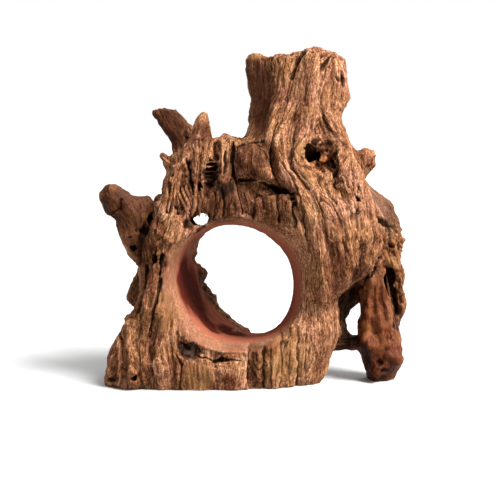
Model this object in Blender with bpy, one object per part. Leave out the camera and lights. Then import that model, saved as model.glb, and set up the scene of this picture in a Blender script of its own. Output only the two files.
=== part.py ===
"""Aquarium driftwood: a root crown with one large bored tunnel, split into nodes at its main forks.

Frame: +Z up, the flat sawn base on z = 0, the tunnel runs along Y and its carved mouth faces -Y.
The origin is under the middle of the wood. Sizes below are millimetres, turned to metres in the meshes.
"""

import math

import bmesh
import bpy
import numpy as np
from mathutils import Matrix, Vector, noise
from mathutils.bvhtree import BVHTree

# Sizes of the making, in millimetres
MM = 0.001
VOXEL = 2.1
RING_POINTS = 36
RING_STEP = 7.0
FORK_GAP = 0.3
FLOOR_DEPTH = 40.0
FAR = 300.0
SMALL_HOLE = 5.5
CROWN_RIBS = 38
TUNNEL_POINTS = 44
TUNNEL_STEP = 17.0
WINDOW_POINTS = 10
WINDOW_STEP = 50.0
SWELLING_SIZES = (24.0, 11.0)
SWELLING_HEIGHT = 2.0
BURL_DENT = 0.25
CREVICE_STEP = 5.0
CREVICE_SPREAD = 1.5
KEPT_TRIANGLES = 6150

WOOD_COLOUR = (0.33, 0.165, 0.08)
DARK_COLOUR = (0.17, 0.07, 0.036)
WOOD_ROUGHNESS = 0.66
DARK_ROUGHNESS = 0.5

# The crown in plan, bottom to top: height, left and right edges, front, back, set-back of its right end
CROWN_PLANS = [
    (-10, -138, 62, -48, 46, 4),
    (2, -141, 72, -50, 50, 5),
    (10, -142, 78, -52, 52, 5),
    (20, -142, 80, -54, 53, 5),
    (30, -138, 84, -55, 53, 5),
    (40, -131, 89, -55, 53, 5),
    (50, -124, 90, -54, 52, 4),
    (65, -117, 88, -52, 50, 2),
    (85, -112, 88, -49, 48, 0),
    (97, -111, 102, -48, 47, 0),
    (112, -110, 120, -48, 46, 0),
    (126, -110, 131, -49, 46, 0),
    (142, -108, 135, -50, 46, 0),
    (158, -102, 135, -50, 46, 0),
    (175, -93, 128, -48, 46, 0),
    (192, -86, 116, -46, 44, 0),
    (206, -83, 110, -43, 42, 0),
    (218, -80, 102, -39, 40, 0),
    (230, -74, 97, -34, 38, 0),
    (239, -60, 92, -28, 34, 0),
    (244, -46, 84, -22, 28, 0),
]
PLAN_SQUARENESS = 2.5

# Limbs: stations of x, y, z, half width seen from the front, half depth
TRUNK = [
    (44, 1, 222, 62, 41),
    (45, 2, 236, 57, 40),
    (44, 3, 248, 49, 38),
    (45, 5, 258, 46, 36),
    (46, 6, 268, 46, 36),
    (48, 7, 281, 48.5, 37),
    (48.5, 8, 294, 49, 38),
    (47, 8, 306, 49, 38),
    (46, 8, 316, 49, 37),
    (48, 8, 324, 46, 34),
]
LEFT_BRANCH = [
    (-84, 0, 136, 30, 25),
    (-100, -1, 151, 30, 24),
    (-114, -3, 164, 20, 19),
    (-126, -5, 175, 15, 15),
    (-135, -6, 183, 13.5, 13),
    (-142, -7, 188, 10.5, 10),
]
BLADE_SPUR = [
    (-54, 8, 212, 20, 14),
    (-61, 9, 232, 17, 12),
    (-66, 10, 243, 17, 10),
    (-72, 11, 252, 18, 8.5),
    (-78.5, 11, 260, 17, 7.5),
    (-84, 11, 267, 14.5, 6.5),
    (-86.5, 11, 272, 12, 5.5),
]
POINT_SPUR = [
    (-59, -20, 178, 9, 9),
    (-58, -22, 188, 14, 11),
    (-57, -21, 201, 15, 13),
    (-54, -17, 216, 15.5, 13),
    (-50, -12, 234, 14.5, 12),
    (-47, -9, 247, 10, 9),
    (-46, -8, 257, 7.5, 7),
    (-45, -8, 265, 4.8, 5),
    (-44.5, -8, 270, 2.8, 3.2),
]
SHOULDER_KNOB = [
    (88, 4, 206, 20, 18),
    (102, 7, 214, 15, 14),
    (113, 8, 221, 13, 12),
    (118, 8, 223, 11, 10),
]
SHOULDER_FLAP = [
    (94, 12, 197, 18, 24),
    (111, 17, 185, 14, 22),
    (122.5, 20, 176.5, 13.5, 19),
    (132, 21, 169, 13, 16),
    (140, 21, 160, 12, 13),
    (145, 21, 152, 9, 9),
]
OUTER_ROOT = [
    (118, 8, 150, 17, 16),
    (132, 8, 139, 13, 13),
    (141, 9, 128, 10.5, 11.5),
    (145, 11, 115, 10, 11),
    (146.5, 12, 101, 10, 11),
    (147.5, 12, 87, 9.5, 10),
    (148.5, 11, 73, 8, 8.5),
    (148, 11, 62, 6.5, 7),
    (147, 11, 56, 4.5, 5),
]
BARK_RAGS = [
    (143, 21, 156, 9, 10),
    (147, 20, 146, 7, 9),
    (147.5, 19, 136, 7.5, 9),
    (147, 17, 126, 7, 8),
]
LEG = [
    (112, 4, 146, 20, 20),
    (118, 3, 130, 18, 17),
    (121.5, 3, 112, 16, 16),
    (123, 3, 90, 15, 16),
    (126.5, 3, 68, 15.5, 16),
    (129.5, 4, 49, 19.5, 18),
    (132, 4, 36, 21.5, 19),
    (133.5, 4, 23, 21.5, 19),
    (133.5, 4, 11, 17, 17),
    (132.5, 4, 2, 13.5, 14),
    (132, 4, -8, 12, 12),
]
TIE_ROOT = [
    (58, 14, 46, 18, 15),
    (78, 16, 38, 12, 12),
    (94, 16, 36.5, 7.5, 9),
    (107, 13, 36.5, 6, 7.5),
    (120, 9, 38, 9, 9),
]
INNER_ROOT = [
    (106, 18, 134, 18, 18),
    (100, 23, 106, 14.5, 15),
    (94, 26, 82, 13, 13.5),
    (85.5, 26, 63, 12.5, 13),
    (86, 24, 50, 12.5, 13),
    (90, 20, 40, 12, 12),
    (98, 17, 36, 8, 9),
]
BACK_ROOT = [
    (-70, 24, 178, 26, 20),
    (-76, 38, 150, 24, 20),
    (-84, 50, 122, 27, 24),
    (-86, 58, 96, 34, 26),
    (-76, 62, 68, 48, 28),
    (-62, 62, 41, 57, 30),
    (-56, 60, 14, 61, 32),
    (-56, 60, -10, 60, 31),
]
# Long swells of grain that run down the front from the trunk over the shoulder
SWELLS = [
    [
        (40, -20, 306, 8, 7),
        (29, -29, 264, 10, 8),
        (25, -35, 236, 11, 9),
        (31, -41, 212, 12, 10),
        (45, -47, 188, 14, 11),
        (58, -50, 160, 15, 12),
        (66, -50, 130, 14, 11),
        (70, -47, 100, 11, 9),
        (72, -44, 80, 6, 5),
    ],
    [
        (64, -24, 302, 10, 7),
        (57, -29, 264, 11, 8),
        (47, -36, 236, 9, 9),
        (52, -43, 208, 12, 10),
        (70, -49, 184, 15, 13),
        (84, -50, 158, 16, 13),
        (90, -47, 130, 13, 11),
        (88, -44, 106, 9, 8),
        (84, -42, 92, 5, 4),
    ],
    [
        (76, -20, 266, 7, 7),
        (84, -27, 240, 10, 9),
        (94, -36, 208, 14, 12),
        (103, -41, 180, 15, 14),
        (107, -38, 154, 14, 13),
        (106, -33, 128, 11, 10),
        (102, -30, 112, 6, 6),
    ],
    [(100, -22, 198, 12, 12), (111, -24, 172, 12, 14), (116, -22, 148, 11, 13), (112, -22, 124, 9, 10)],
    [
        (-76, -34, 192, 7, 8),
        (-86, -40, 160, 10, 9),
        (-95, -43, 120, 9, 8),
        (-98, -45, 84, 8, 8),
        (-99, -46, 60, 4, 4),
    ],
    [
        (-70, -34, 168, 8, 8),
        (-76, -41, 140, 10, 9),
        (-84, -43, 108, 9, 8),
        (-86, -45, 74, 7, 7),
        (-87, -46, 54, 4, 4),
    ],
]
LEFT_FOOT = [
    (-92, -20, 86, 18, 24),
    (-100, -23, 58, 21, 26),
    (-110, -24, 30, 27, 28),
    (-117, -20, 8, 25, 28),
    (-117, -20, -10, 21, 25),
]

# Burls and swellings: x, y, z, radius
LUMPS = [
    (8, -2, 313, 11),
    (18, 4, 309, 10),
    (36, 10, 315, 12),
    (64, 6, 320, 14),
    (80, 2, 318, 12),
    (90, 0, 300, 7),
    (-27, 4, 238, 9),
    (-38, -4, 234, 8),
    (-2, -26, 220, 17),
    (14, -30, 214, 17),
    (30, -34, 206, 15),
    (70, -44, 206, 9),
    (98, -52, 178, 8),
    (86, -56, 152, 9),
    (104, -48, 150, 8),
    (20, -42, 180, 12),
    (36, -42, 178, 11),
    (8, -42, 180, 11),
    (-70, -38, 150, 16),
    (-80, -36, 172, 14),
    (126, 4, 58, 14),
    (144, 2, 40, 10),
    (120, -6, 40, 11),
    (128, -12, 16, 10),
    (143, -2, 24, 11),
    (113, 8, 221, 14),
    (-137, -7, 187, 12),
    (-132, -12, 177, 9),
    (-104, -4, 176, 11),
    (-112, -14, 150, 10),
    (-131, -26, 10, 11),
    (-112, -42, 12, 12),
    (-88, -46, 24, 12),
    (-115, 50, 80, 14),
    (-110, 52, 97, 11),
    (-58, 76, 95, 11),
    (-55, 79, 82, 12),
    (-50, 77, 68, 11),
]

# Bored tunnel, front to back: y, centre x and z, half width, half height, lean, share of the corner left
TUNNEL = [
    (-110, -8, 108, 112, 100, 0, 0),
    (-72, -8, 107, 87, 77, 0, 0),
    (-55, -9, 106, 74, 67.5, 0, 0),
    (-42, -10, 104.5, 65, 62.5, 0.03, 0),
    (-28, -11.5, 103, 59.5, 59, 0.07, 0),
    (-8, -12, 101, 56.5, 57.5, 0.10, 0),
    (15, -11, 99, 55, 58, 0.12, 0),
    (40, -8, 97, 53, 59, 0.12, 0.06),
    (65, -3, 95, 52, 60, 0.08, 0.15),
    (90, 3, 96, 53, 62, 0, 0.19),
    (125, 8, 97, 55, 66, 0, 0.19),
]
TUNNEL_SQUARENESS = 2.15
TUNNEL_CORNER = 232
# The small window beside the tunnel: same columns
WINDOW = [
    (-70, -48, 171, 11, 9, 0, 0),
    (-20, -48.5, 166, 10, 8.6, 0, 0),
    (30, -49, 160.5, 10, 8.6, 0, 0),
    (80, -51, 155, 12, 10, 0, 0),
]
WINDOW_SQUARENESS = 1.9

# Knot holes and pits seen from the front: x, z, half width, depth, half height, lean in degrees
FRONT_HOLES = [
    (60, 227, 8.5, 13, 9.5, -15),
    (77, 222, 6, 8, 9.5, 25),
    (89, 300, 3.4, 9, 8.5, 6),
    (70, 320, 3.2, 6, 9, 28),
    (102, 184, 3.6, 6, 4.5, 20),
    (129, 21, 4.5, 7, 4.5, 10),
    (-112, 14, 5, 6, 4, 0),
    (-132, 11, 4.5, 6, 4, 0),
    (-115, 137, 4.5, 7, 3.5, 30),
    (-96, 163, 3.6, 9, 9, -35),
    (-92, 129, 2.8, 6, 7, -10),
    (-83, 126, 2.8, 6, 8, -14),
    (-42, 192, 4.5, 9, 9, 10),
    (-36, 214, 4.5, 6, 12, 0),
    (-24, 30, 5, 6, 4, 0),
]
# The same, seen from behind
BACK_HOLES = [
    (52, 262, 9, 14, 7, 10),
    (-20, 214, 5, 8, 9, -20),
    (96, 150, 5, 9, 10, 15),
    (-86, 60, 6, 9, 5, 0),
]

# Splits along the grain on the front: half width, depth, then x and z from end to end
FRONT_CREVICES = [
    (2.4, 8, [(44, 322), (43, 308), (40, 297), (35, 282), (30, 268), (24, 254), (20, 242), (19, 224)]),
    (2.2, 6, [(19, 224), (23, 209), (34, 196), (48, 171), (55, 147)]),
    (3.2, 11, [(-12, 204), (6, 202), (19, 198), (29, 195), (38, 192)]),
    (2.4, 9, [(-19, 242), (-18, 226), (-16, 208), (-10, 192), (-6, 178)]),
    (2.6, 9, [(-33, 240), (-35, 226), (-37, 210), (-40, 196)]),
    (2.2, 5, [(2, 195), (0, 182), (3, 168)]),
    (2.2, 5, [(41, 194), (42, 180), (44, 166)]),
    (2.0, 5, [(65, 204), (77, 185), (86, 161), (91, 137)]),
    (2.2, 4, [(68, 250), (64, 270), (66, 290), (72, 306)]),
    (2.2, 4, [(84, 262), (80, 280), (82, 296)]),
    (3.2, 6, [(-71, 46), (-58, 39), (-43, 34), (-27, 30), (-10, 31)]),
    (2.2, 5, [(1, 44), (2, 24), (2, -2)]),
    (2.2, 5, [(14, 44), (15, 24), (16, -2)]),
    (2.2, 5, [(-127, 53), (-124, 30), (-117, -2)]),
    (2.2, 5, [(-106, 90), (-108, 60), (-106, 31), (-104, -2)]),
    (2.2, 4, [(-96, 90), (-96, 60), (-96, 26), (-97, -2)]),
    (2.2, 5, [(-77, 42), (-75, 22), (-74, -2)]),
    (2.0, 4, [(49, 46), (48, 24), (48, -2)]),
    (2.0, 4, [(33, 46), (33, 24), (34, -2)]),
    (2.2, 5, [(-101, 188), (-96, 174), (-101, 158), (-108, 146)]),
    (2.2, 5, [(-66, 214), (-68, 198), (-66, 184), (-70, 170)]),
    (2.0, 4, [(-56, 236), (-58, 218), (-58, 200), (-60, 184)]),
    (2.0, 4, [(-48, 240), (-50, 222), (-50, 204), (-52, 188)]),
    (2.2, 5, [(-92, 176), (-88, 158), (-96, 138), (-100, 112)]),
    (2.6, 6, [(104, 122), (116, 128), (128, 142), (134, 156)]),
    (2.2, 5, [(112, 176), (118, 160), (122, 142)]),
    (2.0, 4, [(116, 110), (120, 90), (120, 66), (124, 50)]),
    (2.0, 4, [(132, 108), (131, 84), (136, 62)]),
]
BACK_CREVICES = [
    (2.4, 6, [(58, 318), (54, 290), (58, 262), (50, 236), (56, 206)]),
    (2.4, 6, [(96, 214), (90, 180), (84, 146), (80, 104), (68, 56), (66, 10)]),
    (2.6, 7, [(24, 240), (12, 214), (-8, 198), (-24, 176)]),
    (2.4, 5, [(-96, 168), (-104, 130), (-110, 96), (-104, 50), (-108, 4)]),
    (2.4, 5, [(-62, 60), (-58, 30), (-60, 2)]),
    (2.2, 5, [(30, 32), (28, 16), (30, 2)]),
    (2.2, 5, [(18, 300), (22, 276), (14, 254)]),
]

# Where the wood is divided: a node, its front and back limits, and the outline in x and z that takes it
FORKS = [
    ("trunk", -300, 300, [(-16, 247), (110, 262), (120, 345), (-16, 345)]),
    ("left_branch", -300, 28, [(-97, 192), (-111, 120), (-180, 110), (-180, 225), (-106, 225)]),
    ("point_spur", -300, 300, [(-71, 238), (-34, 238), (-30, 250), (-30, 285), (-46.5, 285)]),
    ("blade_spur", -300, 300, [(-110, 240), (-74, 230), (-46, 256), (-40, 300), (-130, 300)]),
    (
        "outer_root",
        -13,
        300,
        [
            (119, 191),
            (129, 177),
            (133, 162),
            (134, 148),
            (128, 131),
            (134, 114),
            (140, 100),
            (142, 84),
            (143, 50),
            (175, 50),
            (175, 200),
            (127, 200),
        ],
    ),
    ("leg", -300, 300, [(101, -20), (175, -20), (175, 80), (150, 130), (131, 121), (104, 98), (102, 60)]),
]
DARK_NODES = ("leg", "left_branch", "outer_root")


def clear_scene():
    for obj in list(bpy.data.objects):
        bpy.data.objects.remove(obj)


def material(name, colour, roughness):
    made = bpy.data.materials.new(name)
    made.use_nodes = True
    shader = made.node_tree.nodes["Principled BSDF"]
    shader.inputs["Base Color"].default_value = (*colour, 1.0)
    shader.inputs["Roughness"].default_value = roughness
    shader.inputs["Metallic"].default_value = 0.0
    return made


def placed(name, bm):
    """The bmesh as an object in the scene."""
    mesh = bpy.data.meshes.new(name)
    bm.to_mesh(mesh)
    bm.free()
    obj = bpy.data.objects.new(name, mesh)
    bpy.context.collection.objects.link(obj)
    return obj


def helper(obj):
    obj.hide_render = True
    obj.display_type = "WIRE"
    return obj


def smooth_rows(stations, step):
    """Rows along a Catmull-Rom curve through the stations, about one step apart in x, y and z."""
    rows = [np.array(s, float) for s in stations]
    rows = [2 * rows[0] - rows[1], *rows, 2 * rows[-1] - rows[-2]]
    out = []
    for i in range(1, len(rows) - 2):
        a, b, c, d = rows[i - 1 : i + 3]
        count = max(1, round(float(np.linalg.norm((c - b)[:3])) / step))
        for k in range(count):
            t = k / count
            bend = (2 * a - 5 * b + 4 * c - d) * t * t + (3 * b - a - 3 * c + d) * t**3
            out.append(0.5 * (2 * b + (c - a) * t + bend))
    out.append(rows[-2])
    return out


def flute(angle, along, count, depth, seed):
    """Rounded ribs with sharp valleys round a limb, which wander as they run along it."""
    wander = 0.5 * math.sin(along * 0.021 + seed) + 0.25 * math.sin(along * 0.047 + 2.3 * seed)
    wide = abs(math.sin(0.5 * count * angle + wander + seed))
    narrow = abs(math.sin(0.5 * (count + 5) * angle - 1.3 * wander + 2.1 * seed))
    return 1.0 + depth * (0.65 * wide + 0.35 * narrow - 0.64)


def skin(name, rings):
    """A closed mesh through rings of points, all with the same number of points."""
    bm = bmesh.new()
    loops = [[bm.verts.new(Vector(p) * MM) for p in ring] for ring in rings]
    count = len(loops[0])
    for low, high in zip(loops, loops[1:], strict=False):
        for i in range(count):
            j = (i + 1) % count
            bm.faces.new((low[i], low[j], high[j], high[i]))
    bm.faces.new(loops[0][::-1])
    bm.faces.new(loops[-1])
    bmesh.ops.recalc_face_normals(bm, faces=bm.faces)
    return placed(name, bm)


def limb(name, stations, ribs, depth, seed, level=False):
    """A ribbed limb. Its cross-sections stand square to its centre line, or all lie level."""
    rows = smooth_rows(stations, RING_STEP)
    rings = []
    along = 0.0
    for i, row in enumerate(rows):
        low, high = rows[max(i - 1, 0)], rows[min(i + 1, len(rows) - 1)]
        tangent = Vector((0, 0, 1)) if level else Vector(high[:3] - low[:3]).normalized()
        deep = Vector((0, 1, 0))
        deep = (deep - tangent * deep.dot(tangent)).normalized()
        wide = deep.cross(tangent)
        along += float(np.linalg.norm((row - low)[:3]))
        ring = []
        for k in range(RING_POINTS):
            angle = 2 * math.pi * k / RING_POINTS
            r = flute(angle, along, ribs, depth, seed)
            across = wide * (row[3] * r * math.cos(angle))
            ring.append(Vector(row[:3]) + across + deep * (row[4] * r * math.sin(angle)))
        rings.append(ring)
    return skin(name, rings)


def squared(angle, squareness):
    """A point of the unit superellipse."""
    c, s = math.cos(angle), math.sin(angle)
    power = 2 / squareness
    return math.copysign(abs(c) ** power, c), math.copysign(abs(s) ** power, s)


def crown_core():
    """The root crown: plan outlines stacked up, with ribs that run up and down it."""
    rows = smooth_rows([(row[0], 0, 0, *row[1:]) for row in CROWN_PLANS], RING_STEP)
    points = 4 * RING_POINTS
    rings = []
    for row in rows:
        z, _, _, left, right, front, back, skew = row
        ring = []
        for k in range(points):
            angle = 2 * math.pi * k / points
            c, s = squared(angle, PLAN_SQUARENESS)
            r = flute(angle, z, CROWN_RIBS, 0.05, 0.7)
            x = (left + right) / 2 + (right - left) / 2 * r * c
            y = (front + back) / 2 + (back - front) / 2 * r * s + skew * c
            ring.append((x, y, z))
        rings.append(ring)
    return skin("crown_core", rings)


def burl(index, x, y, z, radius):
    """A ball with a dented skin."""
    bm = bmesh.new()
    bmesh.ops.create_icosphere(bm, subdivisions=3, radius=radius)
    for vert in bm.verts:
        dent = noise.noise(vert.co * (1.6 / radius) + Vector((index * 3.1, 0, 0)))
        vert.co = (vert.co * (1 + BURL_DENT * dent) + Vector((x, y, z))) * MM
    return placed(f"burl_{index:02d}", bm)


def torn_fringe():
    """The slivers that hang from the pointed spur over the window."""
    tips = [(-72, 174), (-66, 169), (-60, 166), (-54, 169), (-48, 177), (-78, 182)]
    fringe = []
    for i, (x, z) in enumerate(tips):
        lean = (x + 58) * 0.35
        stations = [
            (x - lean, -24, z + 36, 5.0, 7),
            (x - 0.5 * lean, -28, z + 17, 4.0, 5.5),
            (x, -28, z, 1.8, 2.6),
        ]
        fringe.append(limb(f"sliver_{i}", stations, 5, 0.12, i))
    spike = [(-76, 2, 211, 9, 9), (-82, 0, 221, 5, 5), (-87, -1, 229, 2, 2)]
    fringe.append(limb("spike", spike, 5, 0.1, 2.0))
    return fringe


def wood_forms():
    """Every overlapping form that the wood grows from."""
    forms = [
        crown_core(),
        limb("trunk_core", TRUNK, 21, 0.10, 1.9, level=True),
        limb("branch_core", LEFT_BRANCH, 9, 0.10, 0.4),
        limb("blade_core", BLADE_SPUR, 5, 0.12, 2.2, level=True),
        limb("point_core", POINT_SPUR, 8, 0.20, 3.1),
        limb("knob_core", SHOULDER_KNOB, 6, 0.10, 1.1),
        limb("flap_core", SHOULDER_FLAP, 8, 0.14, 4.0),
        limb("outer_core", OUTER_ROOT, 6, 0.14, 5.2),
        limb("rag_core", BARK_RAGS, 5, 0.24, 0.9),
        limb("leg_core", LEG, 7, 0.12, 2.7),
        limb("tie_core", TIE_ROOT, 5, 0.10, 1.3),
        limb("inner_core", INNER_ROOT, 6, 0.12, 3.8),
        limb("back_core", BACK_ROOT, 15, 0.12, 0.2),
        limb("foot_core", LEFT_FOOT, 13, 0.12, 1.5),
    ]
    forms += [limb(f"swell_{i}", swell, 5, 0.22, 0.8 * i) for i, swell in enumerate(SWELLS)]
    forms += torn_fringe()
    forms += [burl(i, *row) for i, row in enumerate(LUMPS)]
    return forms


def apply_modifiers(obj):
    graph = bpy.context.evaluated_depsgraph_get()
    mesh = bpy.data.meshes.new_from_object(obj.evaluated_get(graph))
    obj.modifiers.clear()
    obj.data = mesh
    return obj


def joined(name, objects):
    """One object that holds the meshes of all these, which are then removed."""
    bm = bmesh.new()
    for obj in objects:
        bm.from_mesh(obj.data)
        bpy.data.objects.remove(obj)
    return placed(name, bm)


def grown_together(name, forms):
    """The forms under one skin."""
    obj = joined(name, forms)
    grow = obj.modifiers.new("Grow", "REMESH")
    grow.mode = "VOXEL"
    grow.voxel_size = VOXEL * MM
    soften = obj.modifiers.new("Soften", "SMOOTH")
    soften.factor = 0.5
    soften.iterations = 3
    return apply_modifiers(obj)


def read_points(mesh):
    points = np.empty(len(mesh.vertices) * 3, np.float32)
    mesh.vertices.foreach_get("co", points)
    return points.reshape(-1, 3).astype(float) / MM


def read_normals(mesh):
    normals = np.empty(len(mesh.vertices) * 3, np.float32)
    mesh.vertex_normals.foreach_get("vector", normals)
    return normals.reshape(-1, 3).astype(float)


def write_points(mesh, points):
    mesh.vertices.foreach_set("co", (points * MM).astype(np.float32).ravel())
    mesh.update()


def skin_tree(obj):
    bm = bmesh.new()
    bm.from_mesh(obj.data)
    tree = BVHTree.FromBMesh(bm)
    bm.free()
    return tree


def on_skin(tree, x, z, side):
    """The point of the skin in front of (side -1) or behind (side 1) the place x, z."""
    hit = tree.ray_cast(Vector((x, side * FAR, z)) * MM, Vector((0, -side, 0)))
    return None if hit[0] is None else hit[0] / MM


def distance_to_route(points, route):
    """Distance of each point to the line through the route's points."""
    best = np.full(len(points), 1e9)
    for a, b in zip(route, route[1:], strict=False):
        a, b = np.array(a, float), np.array(b, float)
        along = b - a
        t = np.clip((points - a) @ along / max(along @ along, 1e-9), 0, 1)
        best = np.minimum(best, np.linalg.norm(points - (a + t[:, None] * along), axis=1))
    return best


def weathered(obj):
    """Uneven swellings, then splits along the grain."""
    mesh = obj.data
    points, normals = read_points(mesh), read_normals(mesh)
    large, small = SWELLING_SIZES
    swell = [noise.noise(Vector(p) / large) + 0.5 * noise.noise(Vector(p) / small) for p in points]
    moved = points + normals * (SWELLING_HEIGHT * np.array(swell))[:, None]
    tree = skin_tree(obj)
    for side, crevices in ((-1, FRONT_CREVICES), (1, BACK_CREVICES)):
        for half_width, depth, route in crevices:
            rows = smooth_rows([(x, 0, z) for x, z in route], CREVICE_STEP)
            found = [on_skin(tree, row[0], row[2], side) for row in rows]
            line = [tuple(p) for p in found if p is not None]
            near = distance_to_route(points, line)
            moved -= normals * (depth * np.exp(-((near / (CREVICE_SPREAD * half_width)) ** 2)))[:, None]
    write_points(mesh, moved)
    return obj


def thinned(obj, triangles):
    """Fewer faces, with most left where the skin bends most."""
    obj.data.calc_loop_triangles()
    thin = obj.modifiers.new("Thin", "DECIMATE")
    thin.ratio = triangles / len(obj.data.loop_triangles)
    thin.use_collapse_triangulate = True
    return apply_modifiers(obj)


def bore(name, stations, squareness, points, step):
    """A cutter that runs along Y through level ovals."""
    rings = []
    for y, cx, cz, wide, high, lean, left in smooth_rows(stations, step):
        ring = []
        for k in range(points):
            angle = 2 * math.pi * k / points
            c, s = squared(angle, squareness)
            corner = max(0.0, math.cos(angle - math.radians(TUNNEL_CORNER))) ** 3
            uneven = 1 + 0.012 * math.sin(3 * angle + 0.4) + 0.008 * math.sin(5 * angle + y * 0.03)
            uneven -= left * corner
            ring.append((cx + wide * uneven * c - lean * high * s, y, cz + high * uneven * s))
        rings.append(ring)
    return helper(skin(name, rings))


def pod(name, centre, half, lean):
    """An egg-shaped cutter, leaning about Y."""
    bm = bmesh.new()
    bmesh.ops.create_icosphere(bm, subdivisions=2 if half[0] > SMALL_HOLE else 1, radius=1.0)
    size = Matrix.Diagonal((*(Vector(half) * MM), 1.0))
    turn = Matrix.Rotation(math.radians(lean), 4, "Y")
    bmesh.ops.transform(bm, matrix=Matrix.Translation(Vector(centre) * MM) @ turn @ size, verts=bm.verts)
    return helper(placed(name, bm))


def prism(name, outline, front, back):
    """A cutter with an outline in x and z, run along Y."""
    return helper(skin(name, [[(x, y, z) for x, z in outline] for y in (front, back)]))


def cut(obj, cutter, operation="DIFFERENCE"):
    step = obj.modifiers.new(cutter.name, "BOOLEAN")
    step.operation = operation
    step.object = cutter
    step.solver = "EXACT"


def hollowed(obj):
    """The tunnel, the window, the knot holes and the sawn base."""
    tree = skin_tree(obj)
    for side, holes in ((-1, FRONT_HOLES), (1, BACK_HOLES)):
        for i, (x, z, wide, deep, high, lean) in enumerate(holes):
            y = on_skin(tree, x, z, side).y
            name = f"{'front' if side < 0 else 'back'}_hole_{i:02d}"
            cut(obj, pod(name, (x, y, z), (wide, deep, high), lean))
    cut(obj, bore("tunnel", TUNNEL, TUNNEL_SQUARENESS, TUNNEL_POINTS, TUNNEL_STEP))
    cut(obj, bore("window", WINDOW, WINDOW_SQUARENESS, WINDOW_POINTS, WINDOW_STEP))
    floor = [(-FAR, 0), (FAR, 0), (FAR, -FLOOR_DEPTH), (-FAR, -FLOOR_DEPTH)]
    cut(obj, prism("floor", floor, -FAR, FAR))
    return apply_modifiers(obj)


def widened(outline, gap):
    """The outline with every side moved out by the gap."""
    turn = sum(a[0] * b[1] - b[0] * a[1] for a, b in zip(outline, outline[1:] + outline[:1], strict=True))
    sign = 1.0 if turn > 0 else -1.0
    out = []
    for i, here in enumerate(outline):
        before = (Vector(here) - Vector(outline[i - 1])).normalized()
        after = (Vector(outline[(i + 1) % len(outline)]) - Vector(here)).normalized()
        normal_a = Vector((before.y, -before.x)) * sign
        normal_b = Vector((after.y, -after.x)) * sign
        middle = (normal_a + normal_b).normalized()
        out.append(tuple(Vector(here) + middle * (gap / middle.dot(normal_a))))
    return out


def centred(obj):
    """The wood moved so that the origin is under the middle of its box; the move is returned."""
    points = read_points(obj.data)
    middle = (points.min(axis=0) + points.max(axis=0)) / 2
    shift = Vector((-middle[0], -middle[1], 0))
    write_points(obj.data, points + np.array(shift))
    return shift


def node(name, whole, colour_from):
    obj = bpy.data.objects.new(name, whole.data.copy())
    bpy.context.collection.objects.link(obj)
    obj.data.materials.clear()
    obj.data.materials.append(colour_from)
    return obj


def split_at_forks(whole, shift):
    """One node for each main fork, with a fine gap between neighbours, and the rest as the crown."""
    wood = material("wood", WOOD_COLOUR, WOOD_ROUGHNESS)
    dark = material("dark_wood", DARK_COLOUR, DARK_ROUGHNESS)
    taken = []
    for name, front, back, outline in FORKS:
        here = [(x + shift.x, z) for x, z in outline]
        near, far = front + shift.y, back + shift.y
        part = node(name, whole, dark if name in DARK_NODES else wood)
        cut(part, prism(f"{name}_outline", here, near, far), "INTERSECT")
        for other in taken:
            cut(part, other)
        taken.append(prism(f"{name}_gap", widened(here, FORK_GAP), near - FORK_GAP, far + FORK_GAP))
    crown = node("crown", whole, wood)
    for other in taken:
        cut(crown, other)
    bpy.data.objects.remove(whole)


def main():
    clear_scene()
    whole = grown_together("whole", wood_forms())
    weathered(whole)
    thinned(whole, KEPT_TRIANGLES)
    hollowed(whole)
    shift = centred(whole)
    split_at_forks(whole, shift)


main()
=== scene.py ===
import math

import bmesh
import bpy
import numpy as np
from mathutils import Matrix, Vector
from mathutils.bvhtree import BVHTree


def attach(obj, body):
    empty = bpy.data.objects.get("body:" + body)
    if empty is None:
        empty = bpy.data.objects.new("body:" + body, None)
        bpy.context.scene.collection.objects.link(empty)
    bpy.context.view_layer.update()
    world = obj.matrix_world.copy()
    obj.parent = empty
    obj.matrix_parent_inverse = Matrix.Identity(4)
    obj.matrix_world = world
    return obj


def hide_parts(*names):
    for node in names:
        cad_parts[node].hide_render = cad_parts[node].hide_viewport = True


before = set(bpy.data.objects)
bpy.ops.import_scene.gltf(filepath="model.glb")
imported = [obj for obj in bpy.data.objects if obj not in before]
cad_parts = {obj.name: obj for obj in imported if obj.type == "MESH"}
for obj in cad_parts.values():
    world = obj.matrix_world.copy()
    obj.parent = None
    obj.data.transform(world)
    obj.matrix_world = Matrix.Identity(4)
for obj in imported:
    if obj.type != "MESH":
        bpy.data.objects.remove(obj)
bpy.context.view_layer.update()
print("frame loaded:", len(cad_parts), "solids")

# Shapes below are drawn in millimetres, x to the right, y away from the viewer, z up from the sawn base.
# The drawing's zero is a little off the middle of the base.
drawingZero = np.array([4.374, 14.021, 0.0], dtype=np.float32)

skinLook = {
    "spacing": 1.0,         # mm between points of the skin
    "quickSpacing": 1.9,
    "swell": 0.35,          # closes the hairline gaps between the solids
    "evenRounds": 16,       # softens the solids' facets
    "evenReach": 1.0,       # mm, the furthest a point may move in that
    "borderRounds": 8,      # straightens the borders between the pieces
    "fadeRounds": 16,       # over which the dark limbs fade into the paler wood
}


def gatheredSolids():
    bm = bmesh.new()
    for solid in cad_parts.values():
        bm.from_mesh(solid.data)
    bmesh.ops.remove_doubles(bm, verts=bm.verts[:], dist=0.000001)
    bm.normal_update()
    for point in bm.verts:
        point.co += point.normal * skinLook["swell"] * 0.001
    mesh = bpy.data.meshes.new("gatheredSolids")
    bm.to_mesh(mesh)
    bm.free()
    return mesh


def placed(name, data):
    thing = bpy.data.objects.new(name, data)
    bpy.context.scene.collection.objects.link(thing)
    return thing


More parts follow.
